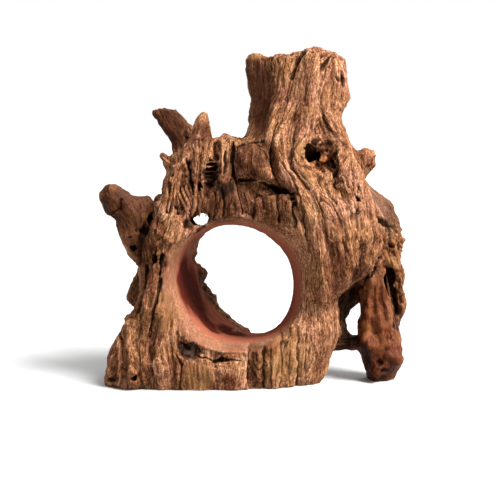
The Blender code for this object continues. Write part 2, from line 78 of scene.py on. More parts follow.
def fusedSkin(mesh):
    body = placed("fusedWood", mesh)
    remesh = body.modifiers.new("Remesh", "REMESH")
    remesh.mode = "VOXEL"
    remesh.voxel_size = skinLook["spacing"] * 0.001
    graph = bpy.context.evaluated_depsgraph_get()
    skin = bpy.data.meshes.new_from_object(body.evaluated_get(graph))
    bpy.data.objects.remove(body)
    return skin


def readArray(items, name, width, kind=np.float32):
    values = np.empty(len(items) * width, dtype=kind)
    items.foreach_get(name, values)
    return values.reshape(-1, width) if width > 1 else values


def meshFrom(name, points, quads):
    mesh = bpy.data.meshes.new(name)
    mesh.vertices.add(len(points))
    mesh.vertices.foreach_set("co", np.ascontiguousarray(points, dtype=np.float32).ravel())
    mesh.loops.add(len(quads) * 4)
    mesh.loops.foreach_set("vertex_index", np.ascontiguousarray(quads, dtype=np.int32).ravel())
    mesh.polygons.add(len(quads))
    mesh.polygons.foreach_set("loop_start", np.arange(0, len(quads) * 4, 4, dtype=np.int32))
    mesh.update(calc_edges=True)
    return mesh


def smoothed(mesh):
    mesh.polygons.foreach_set("use_smooth", np.ones(len(mesh.polygons), dtype=bool))


def averaged(values, edges, counts):
    # the mean of each point's neighbours
    out = np.empty_like(values)
    flat = values.reshape(len(values), -1)
    into = out.reshape(len(values), -1)
    for column in range(flat.shape[1]):
        part = np.bincount(edges[:, 0], weights=flat[edges[:, 1], column], minlength=len(values))
        part += np.bincount(edges[:, 1], weights=flat[edges[:, 0], column], minlength=len(values))
        into[:, column] = part / counts
    return out


def evened(values, edges, counts, rounds, share=0.5):
    for _ in range(rounds):
        values = values + share * (averaged(values, edges, counts) - values)
    return values


def limited(steps, limit):
    # the steps of all points, none longer than the limit
    length = np.linalg.norm(steps, axis=1, keepdims=True)
    return steps * np.minimum(1.0, limit / np.maximum(length, 1e-6))


def faceNormals(points, quads):
    across = points[quads[:, 2]] - points[quads[:, 0]]
    along = points[quads[:, 3]] - points[quads[:, 1]]
    return np.cross(across, along)


def pointNormals(points, quads):
    faces = faceNormals(points, quads)
    total = np.empty_like(points)
    for axis in range(3):
        part = np.zeros(len(points))
        for corner in range(4):
            part += np.bincount(quads[:, corner], weights=faces[:, axis], minlength=len(points))
        total[:, axis] = part
    return total / np.maximum(np.linalg.norm(total, axis=1, keepdims=True), 1e-9)


def soft(edge0, edge1, values):
    t = np.clip((values - edge0) / (edge1 - edge0), 0.0, 1.0)
    return t * t * (3.0 - 2.0 * t)


# Patterns: a block of random numbers read softly between its points
chance = np.random.default_rng(4107)
patternBlocks = [chance.uniform(-1.0, 1.0, (32, 32, 32)).astype(np.float32) for _ in range(12)]


def mottle(points, size, block):
    table = patternBlocks[block]
    place = points / np.float32(size) + np.float32(block * 3.7 + 100.0)
    base = np.floor(place).astype(np.int32)
    f = place - base
    f = f * f * (3.0 - 2.0 * f)
    x0, y0, z0 = (base[:, i] & 31 for i in range(3))
    x1, y1, z1 = ((base[:, i] + 1) & 31 for i in range(3))
    fx, fy, fz = f[:, 0], f[:, 1], f[:, 2]
    low = (table[x0, y0, z0] * (1 - fx) + table[x1, y0, z0] * fx) * (1 - fy)
    low += (table[x0, y1, z0] * (1 - fx) + table[x1, y1, z0] * fx) * fy
    high = (table[x0, y0, z1] * (1 - fx) + table[x1, y0, z1] * fx) * (1 - fy)
    high += (table[x0, y1, z1] * (1 - fx) + table[x1, y1, z1] * fx) * fy
    return low * (1 - fz) + high * fz


# How the grain runs, each line from the floor towards the end of its limb
grainLines = [
    [(-130, -25, 0), (-128, -28, 30), (-117, -26, 62), (-109, -22, 95), (-106, -16, 125),
     (-113, -12, 150), (-126, -9, 173), (-142, -7, 190)],
    [(-108, -38, 0), (-106, -45, 35), (-102, -48, 75), (-99, -46, 115), (-93, -40, 150), (-80, -34, 185),
     (-72, -24, 212), (-68, 2, 236), (-78, 10, 254), (-88, 11, 272)],
    [(-88, -48, 0), (-88, -50, 40), (-88, -50, 75), (-84, -50, 115), (-76, -46, 150), (-67, -38, 176),
     (-60, -32, 200), (-54, -22, 230), (-45, -8, 266)],
    [(-50, -42, 168), (-46, -38, 185), (-40, -32, 205), (-36, -20, 226), (-32, -6, 242)],
    [(-28, -44, 164), (-24, -42, 185), (-22, -32, 210), (-22, -20, 232), (-20, 0, 246)],
    [(-6, -48, 166), (-12, -42, 190), (-16, -32, 212), (-17, -22, 236), (-8, -8, 262), (0, 0, 316)],
    [(22, -55, 162), (20, -50, 185), (14, -44, 205), (8, -38, 222), (6, -30, 240), (12, -18, 268),
     (18, -8, 318)],
    [(60, -52, 88), (56, -56, 120), (54, -56, 147), (47, -54, 175), (35, -48, 198), (24, -44, 212),
     (20, -38, 230), (24, -32, 252), (34, -28, 275), (42, -24, 304), (48, -18, 325)],
    [(84, -48, 60), (76, -52, 95), (70, -58, 130), (66, -58, 160), (58, -56, 186), (46, -52, 206),
     (38, -48, 224), (42, -40, 244), (52, -36, 258), (56, -30, 285), (60, -20, 325)],
    [(94, -46, 92), (92, -54, 125), (88, -60, 158), (80, -56, 184), (74, -50, 204), (82, -42, 216),
     (88, -36, 236), (76, -30, 255), (70, -30, 275), (76, -24, 296), (82, -14, 322)],
    [(106, -40, 112), (108, -48, 145), (108, -48, 172), (103, -42, 198), (98, -32, 218), (92, -24, 240),
     (90, -14, 262), (92, -6, 300)],
    [(122, -20, 128), (124, -24, 150), (118, -26, 172), (110, -24, 196), (102, -12, 216), (96, 0, 232)],
    [(30, -44, 0), (32, -42, 30), (44, -44, 60), (56, -46, 84), (62, -52, 104)],
    [(-60, -54, 0), (-58, -54, 46)],
    [(-20, -50, 0), (-20, -50, 42)],
    [(4, -48, 0), (4, -48, 44)],
    [(62, -36, 0), (66, -38, 34), (78, -42, 70), (88, -48, 96)],
    [(130, 4, 0), (132, 4, 28), (128, 3, 60), (123, 3, 92), (118, 2, 130), (110, -4, 160)],
    [(147, 11, 56), (149, 11, 84), (147, 10, 114), (136, 8, 136), (120, 10, 160), (104, 12, 190)],
    [(146, 21, 150), (132, 21, 170), (112, 17, 188), (94, 12, 202), (80, 6, 218)],
    [(92, 5, 206), (104, 7, 214), (122, 8, 224)],
    [(58, 14, 44), (92, 16, 37), (124, 9, 38)],
    [(88, 21, 42), (86, 26, 62), (95, 26, 86), (103, 22, 112), (110, 14, 140)],
    [(-96, 60, 0), (-98, 60, 40), (-108, 50, 80), (-106, 46, 110), (-96, 40, 140), (-86, 30, 170),
     (-66, 16, 205)],
    [(-50, 76, 0), (-52, 78, 40), (-58, 74, 80), (-74, 56, 120), (-70, 40, 155), (-50, 30, 185),
     (-24, 24, 212), (4, 20, 240), (20, 18, 275), (24, 16, 318)],
    [(0, 58, 0), (0, 58, 36)],
    [(44, 52, 0), (56, 50, 36), (68, 46, 70), (76, 44, 110), (74, 44, 150), (56, 42, 190), (44, 40, 220),
     (44, 40, 260), (50, 38, 318)],
    [(84, 40, 40), (94, 40, 80), (104, 38, 120), (106, 36, 160), (94, 34, 200), (82, 32, 236),
     (80, 30, 300)],
]

grainBox = {"low": (-170.0, -80.0, -15.0), "cell": 4.0, "counts": (86, 48, 90)}
grainLook = {
    "closest": 50.0,        # mm2, nearer than this a line pulls no harder
    "fading": 1.6,          # how fast its pull fades with the distance
    "sways": ((34.0, 0.34), (13.0, 0.20)),      # mm across a bend, and how strong it is
    "swayBlock": 6,
}


def grainField():
    low, cell, counts = grainBox["low"], grainBox["cell"], grainBox["counts"]
    axes = [low[i] + cell * np.arange(counts[i], dtype=np.float32) for i in range(3)]
    centres = np.stack(np.meshgrid(*axes, indexing="ij"), axis=-1).reshape(-1, 3)
    total = np.zeros_like(centres)
    for line in grainLines:
        for start, end in zip(line, line[1:]):
            a = np.array(start, dtype=np.float32)
            run = np.array(end, dtype=np.float32) - a
            length = float(np.linalg.norm(run))
            along = run / length
            t = np.clip((centres - a) @ along, 0.0, length)
            away = centres - (a + t[:, None] * along)
            distance = np.einsum("ij,ij->i", away, away) + grainLook["closest"]
            weight = length / distance ** grainLook["fading"]
            total += weight[:, None] * along
    total /= np.linalg.norm(total, axis=1, keepdims=True) + 1e-9
    # the grain never runs quite straight
    for size, sway in grainLook["sways"]:
        for axis in range(3):
            total[:, axis] += sway * mottle(centres, size, grainLook["swayBlock"] + axis)
    total /= np.linalg.norm(total, axis=1, keepdims=True) + 1e-9
    return total.reshape(counts + (3,)).astype(np.float32)


grainDirections = grainField()


def grainAt(points):
    place = (points - np.array(grainBox["low"], dtype=np.float32)) / grainBox["cell"] + 0.5
    cells = np.clip(place.astype(np.int32), 0, np.array(grainBox["counts"]) - 1)
    return grainDirections[cells[:, 0], cells[:, 1], cells[:, 2]]


def grainLean(points):
    # degrees from upright that the grain leans to the right
    grain = grainAt(points)
    return (np.degrees(np.arctan2(grain[:, 0], grain[:, 2])) + 90.0) % 180.0 - 90.0


def drawnOut(points, step, rounds, patterns):
    # each pattern is averaged along the grain, which turns its spots into fibres
    totals = [mottle(points, size, block) for size, block in patterns]
    weights = 1.0
    for sign in (1.0, -1.0):
        walk = points
        for i in range(1, rounds + 1):
            walk = walk + np.float32(sign * step) * grainAt(walk)
            share = 0.5 + 0.5 * math.cos(math.pi * i / (rounds + 1))
            weights += share
            for total, (size, block) in zip(totals, patterns):
                total += np.float32(share) * mottle(walk, size, block)
    return [total / total.std() for total in totals]


def nearLine(x, z, line):
    # distance in the picture plane to a drawn line
    best = np.full(len(x), 1e9, dtype=np.float32)
    for (ax, az), (bx, bz) in zip(line, line[1:]):
        rx, rz = bx - ax, bz - az
        t = np.clip(((x - ax) * rx + (z - az) * rz) / (rx * rx + rz * rz), 0.0, 1.0)
        best = np.minimum(best, np.hypot(x - (ax + t * rx), z - (az + t * rz)))
    return best


def insideOutline(x, z, outline):
    # distance to a drawn outline, above zero inside it
    off = nearLine(x, z, outline + outline[:1])
    inside = np.zeros(len(x), dtype=bool)
    for (ax, az), (bx, bz) in zip(outline, outline[1:] + outline[:1]):
        if az == bz:
            continue
        crosses = (az > z) != (bz > z)
        inside ^= crosses & (x < ax + (z - az) * (bx - ax) / (bz - az))
    return np.where(inside, off, -off)


ballCore = 0.55             # share of a ball's radius that lies wholly inside it


def inBalls(points, balls):
    # 1 inside the drawn balls, 0 outside: x, y, z, radius
    mask = np.zeros(len(points), dtype=np.float32)
    for x, y, z, radius in balls:
        away = np.linalg.norm(points - np.array([x, y, z], dtype=np.float32), axis=1)
        mask = np.maximum(mask, soft(1.0, ballCore, away / radius))
    return mask


# Open splits seen from the front: half width, depth, painted shade inside, then x and z from end to end
frontSplits = [
    (1.8, 4.5, 1.0, [(51, 323), (45, 313)]),
    (1.1, 3.0, 0.9, [(45, 313), (40, 301)]),
    (0.6, 1.2, 0.4, [(40, 301), (37, 290), (35, 275), (30, 262)]),
    (0.8, 2.6, 1.0, [(27, 258), (25, 253), (21, 242), (19, 228), (21, 215), (25, 204), (33, 193)]),
    (0.9, 2.2, 0.7, [(31, 220), (40, 206), (47, 191), (50, 173), (54, 147), (58, 126)]),
    (1.0, 1.8, 0.5, [(54, 247), (45, 239), (39, 227), (39, 216), (47, 206), (56, 196)]),
    (1.4, 4.0, 0.8, [(82, 232), (84, 220), (82, 212), (78, 204)]),
    (2.0, 4.0, 0.85, [(80, 321), (74, 313), (69, 306)]),
    (0.9, 2.5, 0.8, [(84, 323), (76, 309)]),
    (1.0, 2.5, 0.9, [(82, 303), (85, 299)]),
    (1.8, 1.5, 0.35, [(74, 296), (68, 282), (68, 271), (75, 254), (84, 244)]),
    (1.0, 1.0, 0.3, [(53, 311), (53, 287), (50, 257), (44, 247)]),
    (1.0, 1.2, 0.4, [(43, 257), (40, 237), (37, 224)]),
    (1.2, 3.0, 1.0, [(-12, 234), (-6, 237)]),
    (1.2, 3.0, 1.0, [(-1, 237), (9, 239)]),
    (1.1, 3.0, 0.9, [(11, 239), (14, 241)]),
    (1.0, 4.5, 1.0, [(-17, 241), (-17, 224), (-15, 207), (-12, 193), (-7, 172)]),
    (1.5, 5.0, 1.0, [(-10, 204), (6, 204), (16, 200)]),
    (2.2, 8.0, 1.0, [(14, 201), (26, 195), (35, 193)]),
    (1.8, 5.0, 0.9, [(5, 189), (3, 180), (4, 168)]),
    (1.5, 3.0, 0.6, [(5, 190), (21, 191), (38, 191)]),
    (1.6, 5.0, 0.9, [(40, 190), (41, 173), (43, 160)]),
    (1.1, 2.5, 0.6, [(12, 188), (12, 177)]),
    (1.1, 2.5, 0.6, [(26, 190), (27, 174), (28, 164)]),
    (1.8, 6.0, 1.0, [(-59, 221), (-58, 208), (-55, 190)]),
    (1.8, 6.0, 1.0, [(-79, 199), (-76, 187), (-78, 174)]),
    (1.6, 5.0, 0.9, [(-72, 197), (-71, 184), (-70, 172)]),
    (1.6, 5.0, 0.9, [(-66, 196), (-62, 184), (-58, 174)]),
    (1.2, 4.0, 0.8, [(-51, 192), (-52, 176)]),
    (0.9, 1.5, 0.4, [(-57, 240), (-54, 222), (-53, 206)]),
    (0.9, 1.4, 0.4, [(-50, 242), (-48, 222), (-48, 206)]),
    (1.2, 3.5, 0.9, [(-24, 231), (-23, 218), (-25, 206)]),
    (1.2, 3.0, 0.8, [(-34, 238), (-33, 224)]),
    (2.6, 9.0, 1.0, [(-91, 174), (-99, 162), (-104, 152)]),
    (1.2, 5.0, 1.0, [(-90, 137), (-95, 120)]),
    (1.2, 5.0, 1.0, [(-84, 133), (-87, 114)]),
    (0.9, 3.0, 0.8, [(-34, 192), (-33, 178), (-36, 166)]),
    (0.9, 3.0, 0.8, [(-27, 196), (-25, 182), (-26, 168)]),
    (1.3, 3.0, 0.8, [(-126, 184), (-128, 174), (-136, 169)]),
    (2.2, 5.0, 0.8, [(-101, 156), (-107, 143), (-110, 119)]),
    (1.6, 4.0, 0.8, [(-99, 121), (-104, 99), (-109, 76)]),
    (1.6, 4.0, 0.8, [(-86, 109), (-90, 89), (-97, 58)]),
    (0.7, 2.0, 0.6, [(-53, 35), (-34, 30), (-10, 30)]),
    (1.0, 2.5, 0.7, [(-73, 38), (-66, 26), (-69, -2)]),
    (0.9, 2.0, 0.8, [(-1, 43), (-1, 1)]),
    (0.8, 1.6, 0.6, [(14, 44), (14, 1)]),
    (0.7, 1.4, 0.5, [(20, 46), (20, 24), (21, -2)]),
    (0.8, 1.4, 0.5, [(30, 56), (31, 30), (29, -2)]),
    (0.7, 1.2, 0.4, [(39, 60), (38, 24), (39, -2)]),
    (0.8, 1.6, 0.5, [(47, 62), (47, 36), (46, -2)]),
    (0.7, 1.2, 0.4, [(55, 59), (54, 22), (56, -2)]),
    (2.0, 5.0, 0.9, [(130, 124), (119, 107), (108, 95)]),
    (4.0, 10.0, 1.0, [(138, 109), (142, 94), (149, 68)]),
    (2.6, 6.0, 1.0, [(125, 171), (139, 153), (142, 136)]),
]
backSplits = [
    (1.3, 4.5, 0.9, [(60, 322), (55, 296), (58, 272), (52, 250)]),
    (1.0, 3.0, 0.7, [(48, 246), (50, 226), (58, 204)]),
    (1.2, 4.0, 0.8, [(94, 206), (89, 184), (86, 160)]),
    (1.0, 3.0, 0.7, [(80, 150), (82, 126), (76, 98), (70, 78)]),
    (1.1, 3.0, 0.7, [(68, 52), (64, 30), (66, 8)]),
    (1.2, 4.5, 0.8, [(24, 242), (12, 220), (-2, 206)]),
    (1.0, 3.0, 0.7, [(-12, 200), (-20, 186), (-24, 172)]),
    (1.2, 4.0, 0.8, [(-94, 168), (-102, 146), (-106, 122)]),
    (1.1, 3.5, 0.7, [(-112, 104), (-108, 78), (-104, 54)]),
    (1.0, 3.0, 0.7, [(-98, 60), (-94, 34), (-97, 6)]),
    (1.0, 3.0, 0.7, [(-62, 56), (-58, 34), (-60, 16)]),
    (1.0, 3.0, 0.7, [(18, 302), (22, 280), (16, 262)]),
    (0.9, 2.5, 0.6, [(36, 300), (34, 278), (38, 250), (34, 232)]),
    (0.9, 2.5, 0.6, [(30, 34), (28, 16), (30, 2)]),
]

# Knot holes and pits: x, z, half width, half height, lean in degrees, depth
frontPits = [
    (58, 228.5, 6.0, 6.8, 0, 12.0), (63.5, 226, 4.4, 4.4, 0, 10.0), (64, 241, 3.6, 5.0, -20, 2.5),
    (74, 232, 2.4, 2.0, 0, 3.0), (80, 219, 1.7, 5.6, 8, 4.5), (70, 214, 3.0, 2.0, 0, 3.0),
    (91.5, 301, 2.6, 8.4, 4, 8.0), (-49, 197, 2.4, 5.2, 0, 7.0), (-38.5, 212, 5.0, 11.0, 0, 7.5),
    (-40, 198, 4.5, 4.5, 0, 5.0), (-61, 221, 1.6, 3.2, 20, 4.0), (-75, 208, 1.8, 2.2, 0, 4.0),
    (-115, 136, 3.4, 2.4, 20, 6.0), (-117, 147, 1.7, 1.4, 0, 3.0), (-112, 13, 3.0, 2.6, 0, 4.5),
    (-136, 8, 2.8, 2.6, 0, 4.0), (-30, 30, 6.6, 2.2, 8, 4.0), (-60, 43, 5.0, 2.4, -30, 3.0),
    (102, 186, 2.0, 5.2, 40, 4.0), (137, 113, 2.2, 3.2, 0, 4.0), (133, 12, 4.2, 3.4, 10, 6.0),
    (117, 19, 4.0, 8.0, -10, 3.5), (-61, 163, 2.6, 5.0, -25, 5.0),
]
backPits = [
    (50, 262, 5.0, 3.4, 20, 6.0), (-20, 214, 2.2, 5.4, -24, 4.0), (97, 150, 2.0, 6.5, 12, 4.5),
    (-87, 60, 3.6, 2.2, 30, 4.0), (13, 224, 2.2, 1.6, 0, 3.0), (66, 121, 1.6, 3.2, -15, 3.0),
]

# Small swellings on the front: x, z, radius, height
frontLumps = [
    (57, 204, 6.0, 2.4), (79, 204, 5.0, 2.0), (64, 195, 5.0, 1.6), (86, 198, 5.5, 2.0),
    (76, 172, 7.0, 1.6), (95, 153, 7.0, 2.2), (57, 152, 6.0, 1.2), (111, 149, 7.0, 2.4),
    (112, 162, 6.0, 2.0), (100, 124, 7.0, 2.2), (74, 234, 7.0, 1.6), (90, 240, 5.0, 2.2),
    (84, 238, 4.0, 1.8), (92, 172, 5.0, 1.6), (-136, 15, 6.0, 2.2), (-111, 20, 6.0, 2.4),
    (-120, 8, 5.0, 1.8), (126, 3, 6.0, 2.6), (146, 23, 8.0, 2.6), (122, 31, 6.0, 1.8),
    (137, 28, 6.0, 2.0), (142, 8, 5.0, 1.8), (-131, 180, 6.0, 1.8), (-108, 150, 5.0, 1.6),
]

# Raised ridges on the front: half width, height, then x and z from end to end
frontRidges = [
    (3.4, 2.4, [(50, 242), (45, 234), (43, 223), (47, 216), (55, 211)]),
    (2.0, 2.4, [(65, 239), (75, 242), (85, 243), (93, 239)]),
    (2.0, 2.8, [(50, 220), (59, 218), (69, 221), (77, 226)]),
    (1.8, 1.8, [(84, 226), (88, 214), (84, 204)]),
    (3.0, 2.2, [(119, 118), (120, 98), (118, 73), (115, 46)]),
    (3.2, 2.4, [(132, 112), (135, 92), (139, 67), (147, 37)]),
    (2.2, 1.6, [(127, 108), (127, 84), (129, 60), (133, 42)]),
    (2.6, 1.8, [(118, 38), (128, 36), (140, 40)]),
    (3.2, 2.6, [(136, 123), (146, 114), (153, 102)]),
    (2.6, 2.2, [(153, 98), (155, 80), (155, 60)]),
    (2.2, 1.8, [(-51, 244), (-50, 226), (-49, 210)]),
    (2.2, 1.6, [(-56, 236), (-54, 222), (-53, 206)]),
    (1.8, 1.6, [(-92, 158), (-82, 150), (-76, 146)]),
    (2.4, 2.4, [(-129, 47), (-126, 29), (-129, 5)]),
    (2.4, 2.4, [(-118, 68), (-118, 49), (-114, 29), (-117, 3)]),
    (2.4, 2.2, [(-107, 72), (-107, 49), (-103, 28), (-106, 3)]),
    (2.0, 2.0, [(-139, 24), (-137, 7)]),
]

# Bumps and hollows that show in the outline: x, y, z, radius, height
bosses = [
    (5, -8, 318, 10, 2.6), (26, -8, 322, 8, -2.2), (-2, -2, 286, 14, -1.2), (96, 0, 286, 9, 1.8),
    (94, 4, 262, 9, -1.2), (152, 18, 146, 7, -4.5), (150, 16, 133, 6, 2.2), (154, 14, 124, 7, -3.0),
    (155, 10, 108, 7, 1.6), (156, 10, 92, 6, -2.2), (140, 18, 176, 10, 2.4), (150, 20, 162, 8, 2.4),
    (124, 12, 198, 9, -1.5), (152, 10, 62, 7, -2.0), (152, 0, 44, 10, 2.0), (156, -2, 26, 9, -1.8),
    (150, -6, 12, 8, 2.0), (112, -6, 44, 8, -3.0), (108, -4, 30, 8, 2.0), (116, -18, 22, 9, 2.6),
    (140, -22, 26, 10, 2.8), (128, -24, 36, 8, 2.4), (124, -20, 8, 8, 2.2), (134, -16, 58, 10, 2.2),
    (112, -10, 66, 8, -2.2), (106, 0, 96, 8, -1.6), (138, -10, 84, 7, -2.0), (-146, -10, 186, 8, 1.8),
    (-134, -12, 166, 8, -1.8), (-120, -10, 190, 9, -1.6), (-128, -12, 156, 9, 1.6),
    (-140, -30, 4, 9, 2.4), (-142, -26, 22, 8, -2.2), (-130, -32, 36, 9, 2.2), (-126, -26, 52, 8, -1.8),
    (-118, -30, 68, 8, 1.6), (-106, -20, 118, 8, -1.6), (-22, -8, 248, 7, 1.6), (-22, 6, 248, 7, 1.6),
    (112, 0, 208, 9, 2.6), (108, -6, 202, 7, 1.6), (-88, 2, 226, 6, 2.2), (-92, 4, 206, 7, -1.6),
    (122, 8, 228, 7, 1.4), (119, 4, 216, 5, -1.6), (-52, 62, 128, 7, 2.2), (-47, 72, 116, 7, 2.6),
    (-50, 74, 105, 6, -2.0), (-46, 76, 95, 8, 3.2), (-47, 76, 83, 6, -1.6), (-39, 74, 73, 8, 2.8),
    (-30, 72, 62, 6, -1.6), (-22, 70, 54, 7, 2.4), (-8, 66, 46, 6, -1.4),
]

# Places drawn gently to one side: x, y, z, radius, and how far in x, y and z
pulls = [
    (62, -18, 320, 30, (0.0, 0.0, 5.0)), (66, 24, 326, 26, (0.0, 0.0, -5.0)),
    (88, -4, 318, 14, (-1.5, 0.0, -3.0)), (4, -4, 322, 12, (-1.5, 0.0, 2.5)),
    (22, -8, 322, 12, (0.0, 0.0, -3.0)), (-44, -8, 272, 8, (1.0, 0.0, -1.0)),
    (146, 18, 158, 12, (-1.0, 0.0, -3.0)), (104, 16, 36, 12, (0.0, 0.0, -1.0)),
    (-58, -24, 175, 9, (2.2, 0.0, -2.2)), (-58, -6, 174, 9, (2.2, 0.0, -2.2)),
    (-58, 12, 172, 9, (2.2, 0.0, -2.2)), (-42, -28, 176, 8, (-0.6, 0.0, 4.0)),
    (-42, -8, 174, 8, (-0.6, 0.0, 4.0)), (-42, 12, 172, 8, (-0.6, 0.0, 4.0)),
    (-50, 74, 108, 16, (5.0, 0.0, 0.0)), (-122, -12, 146, 14, (-3.0, 0.0, -1.0)),
    (-36, -22, 245, 9, (0.0, 0.0, -4.0)), (-36, -8, 246, 9, (0.0, 0.0, -4.0)),
    (-36, 6, 246, 9, (0.0, 0.0, -4.0)), (-36, 20, 244, 9, (0.0, 0.0, -4.0)),
    (-9, -22, 246, 9, (0.0, 0.0, -3.6)), (-9, -8, 248, 9, (0.0, 0.0, -3.6)),
    (-9, 6, 248, 9, (0.0, 0.0, -3.6)), (-9, 20, 246, 9, (0.0, 0.0, -3.6)),
    (-50, -34, 168, 15, (0.0, 0.0, -2.4)), (-50, -14, 167, 15, (0.0, 0.0, -2.4)),
    (-50, 8, 165, 15, (0.0, 0.0, -2.0)),
]

# Parts that stand proud of the front or lie back from it: height, softness of the edge, outline in x and z
frontPlates = [
    (2.6, 1.0, [(-14, 238), (13, 240), (18, 224), (20, 210), (32, 197), (17, 201), (0, 204), (-13, 204),
                (-15, 220)]),
    (1.8, 0.9, [(4, 188), (38, 190), (40, 174), (42, 160), (6, 163), (3, 176)]),
    (-2.2, 1.2, [(-14, 201), (6, 202), (28, 195), (38, 191), (4, 190), (2, 170), (-7, 172)]),
    (-1.2, 1.0, [(-46, 224), (-28, 222), (-26, 200), (-44, 196)]),
    (-1.0, 1.2, [(-72, 48), (-56, 48), (-46, 40), (-50, 35), (-66, 38)]),
]

# Stripes of the sawn base seen from the front: x, half width, how much paler or darker
baseStripes = [
    (-55.0, 1.7, 0.40), (-52.0, 0.9, -0.45), (-47.5, 1.7, 0.40), (-43.5, 1.0, -0.45), (-39.5, 1.5, 0.35),
    (-5.5, 3.0, 0.50), (-10.0, 0.8, -0.30), (16.8, 1.8, 0.40), (20.2, 0.9, -0.50), (25.5, 3.2, 0.35),
    (30.5, 1.0, -0.50), (34.5, 2.0, 0.20), (38.8, 0.9, -0.50), (42.8, 2.8, 0.30), (47.0, 0.9, -0.50),
    (50.8, 2.2, 0.25), (55.0, 1.1, -0.40),
]

# The burnt knot on the lower left of the base: x and z round its edge
burntKnot = [(-72, 45), (-66, 49), (-59, 47), (-54, 49), (-49, 43), (-44, 37), (-50, 35), (-55, 30),
             (-60, 32), (-65, 36), (-69, 40)]

# The bored tunnel, front to back: y, centre x, centre z, half width, half height
tunnelRings = [
    (-110, -8, 108, 112, 100), (-72, -8, 107, 87, 77), (-55, -9, 106, 74, 67.5),
    (-42, -10, 104.5, 65, 62.5), (-28, -11.5, 103, 59.5, 59), (-8, -12, 101, 56.5, 57.5),
    (15, -11, 99, 55, 58), (40, -8, 97, 53, 59), (65, -3, 95, 52, 60), (90, 3, 96, 53, 62),
    (125, 8, 97, 55, 66),
]


boreLook = {
    "squareness": 2.15,                 # 2 is an ellipse, more is squarer
    "wall": (5.0, 2.2),                 # mm from the drawn wall where the smooth cut ends and is whole
    "corner": (-0.2, 0.25),             # the wall's lower left corner, in shares of its width and height,
    "cornerReach": 0.74,                # bulges in to this share
    "cornerDepth": (-30.0, 62.0),       # between these y
    "leftRim": ((-0.35, -0.72), (0.72, 0.42)),      # the smoothed left rim, across and up
    "lowerRim": ((-0.45, -0.72), (0.72, 0.42)),     # and the lower one, up and across
    "mouth": (-44.0, -32.0),            # y where the bore begins
    "within": (-35.0, -29.0),           # and where its wall turns red
}
# the bark that hangs behind the lower left corner was never bored: x, y, z, radius
rawBark = [(-55, 76, 92, 26), (-48, 74, 70, 22), (-66, 52, 122, 16)]


def boredMask(points):
    # how far the skin was cut smooth, and how deep inside the bore it lies
    rings = np.array(tunnelRings, dtype=np.float32)
    y = points[:, 1]
    middleX, middleZ, halfWidth, halfHeight = (np.interp(y, rings[:, 0], rings[:, i]) for i in range(1, 5))
    u = (points[:, 0] - middleX) / halfWidth
    w = (points[:, 2] - middleZ) / halfHeight
    power = boreLook["squareness"]
    reach = (np.abs(u) ** power + np.abs(w) ** power) ** (1.0 / power)
    size = np.sqrt(halfWidth * halfHeight)
    off = np.abs(reach - 1.0) * size
    (leftOf, below), (behind, before) = boreLook["corner"], boreLook["cornerDepth"]
    corner = (u < leftOf) & (w < below) & (reach < 1.0) & (y > behind) & (y < before)
    off = np.where(corner, np.maximum(0.0, (boreLook["cornerReach"] - reach) * size), off)
    mask = soft(*boreLook["wall"], off)
    # in front of the bore only the left and the lower rim were smoothed
    across, up = boreLook["leftRim"]
    leftRim = soft(*across, u) * soft(*up, w)
    up, across = boreLook["lowerRim"]
    rim = np.maximum(leftRim, soft(*up, w) * soft(*across, u))
    mask *= rim + (1.0 - rim) * soft(*boreLook["mouth"], y)
    mask *= 1.0 - inBalls(points, rawBark)
    inside = mask * soft(*boreLook["within"], y)
    return mask.astype(np.float32), inside.astype(np.float32)


# Where the bore's floor is worn uneven: x, y, z, radius
wornFloor = [(-58, 34, 70, 26), (-44, 44, 56, 24), (-28, 50, 48, 22)]

# Where the solids' broad splits are filled, so that finer ones take their place: x and z from end to end
calmLines = [
    [(47, 324), (41, 304), (39, 294), (35, 275), (30, 262)],
    [(-14, 204), (6, 203), (19, 199), (29, 195), (38, 192)],
    [(-73, 47), (-58, 39), (-43, 34), (-27, 30), (-8, 31)],
    [(-19, 242), (-18, 226), (-16, 208), (-10, 192), (-6, 178)],
]
calmBalls = [(70, -46, 84, 20), (84, -44, 96, 18), (60, -50, 108, 16)]
calmLook = {"reach": (9.0, 6.0), "rounds": 110, "share": 0.85, "limit": 7.0}     # mm, and rounds of evening


def calmed(points, quads, edges, counts):
    normals = evened(pointNormals(points, quads), edges, counts, 6)
    near = np.zeros(len(points))
    for line in calmLines:
        near = np.maximum(near, soft(*calmLook["reach"], nearLine(points[:, 0], points[:, 2], line)))
    near = np.maximum(near, inBalls(points, calmBalls)) * facing(points, normals, -1.0)
    steps = (evened(points, edges, counts, calmLook["rounds"], calmLook["share"]) - points) * near[:, None]
    return points + limited(steps, calmLook["limit"])


woodLook = {
    "warp": 1.1,            # mm, slow rise and fall
    "flutes": 0.42,         # mm, the big ridges along the grain
    "flakes": 0.36,         # mm, split layers with a step at their edge
    "cords": 0.36,          # mm, the ridges between them
    "fibres": 0.32,         # mm, the finest
    "lumps": 1.2,           # mm, knobbly swellings
    "checks": 1.8,          # mm, thin drying cracks
    "crumbs": 0.9,          # mm, broken and rotten wood
    "floorBand": 1.2,       # mm above the floor that stay as sawn
    "floorRelief": 0.15,    # share of the relief that is left there
}
# mm across the slow rise and fall, the places with checks, and the crumbs
reliefSizes = {"warp": 33.0, "checkPlace": 30.0, "crumb": 5.5}
reliefShapes = {
    "crest": 0.85,          # level of the crests of flutes and cords
    "fluteFoot": 0.02,      # how round their valleys are
    "cordFoot": 0.03,
    "flakeStep": 3.2,       # how steep the edge of a flake is
    "flakeSlope": 0.25,     # and the rest of it
    "check": (0.10, 0.02),
    "checkPlace": (0.15, 0.45),
}

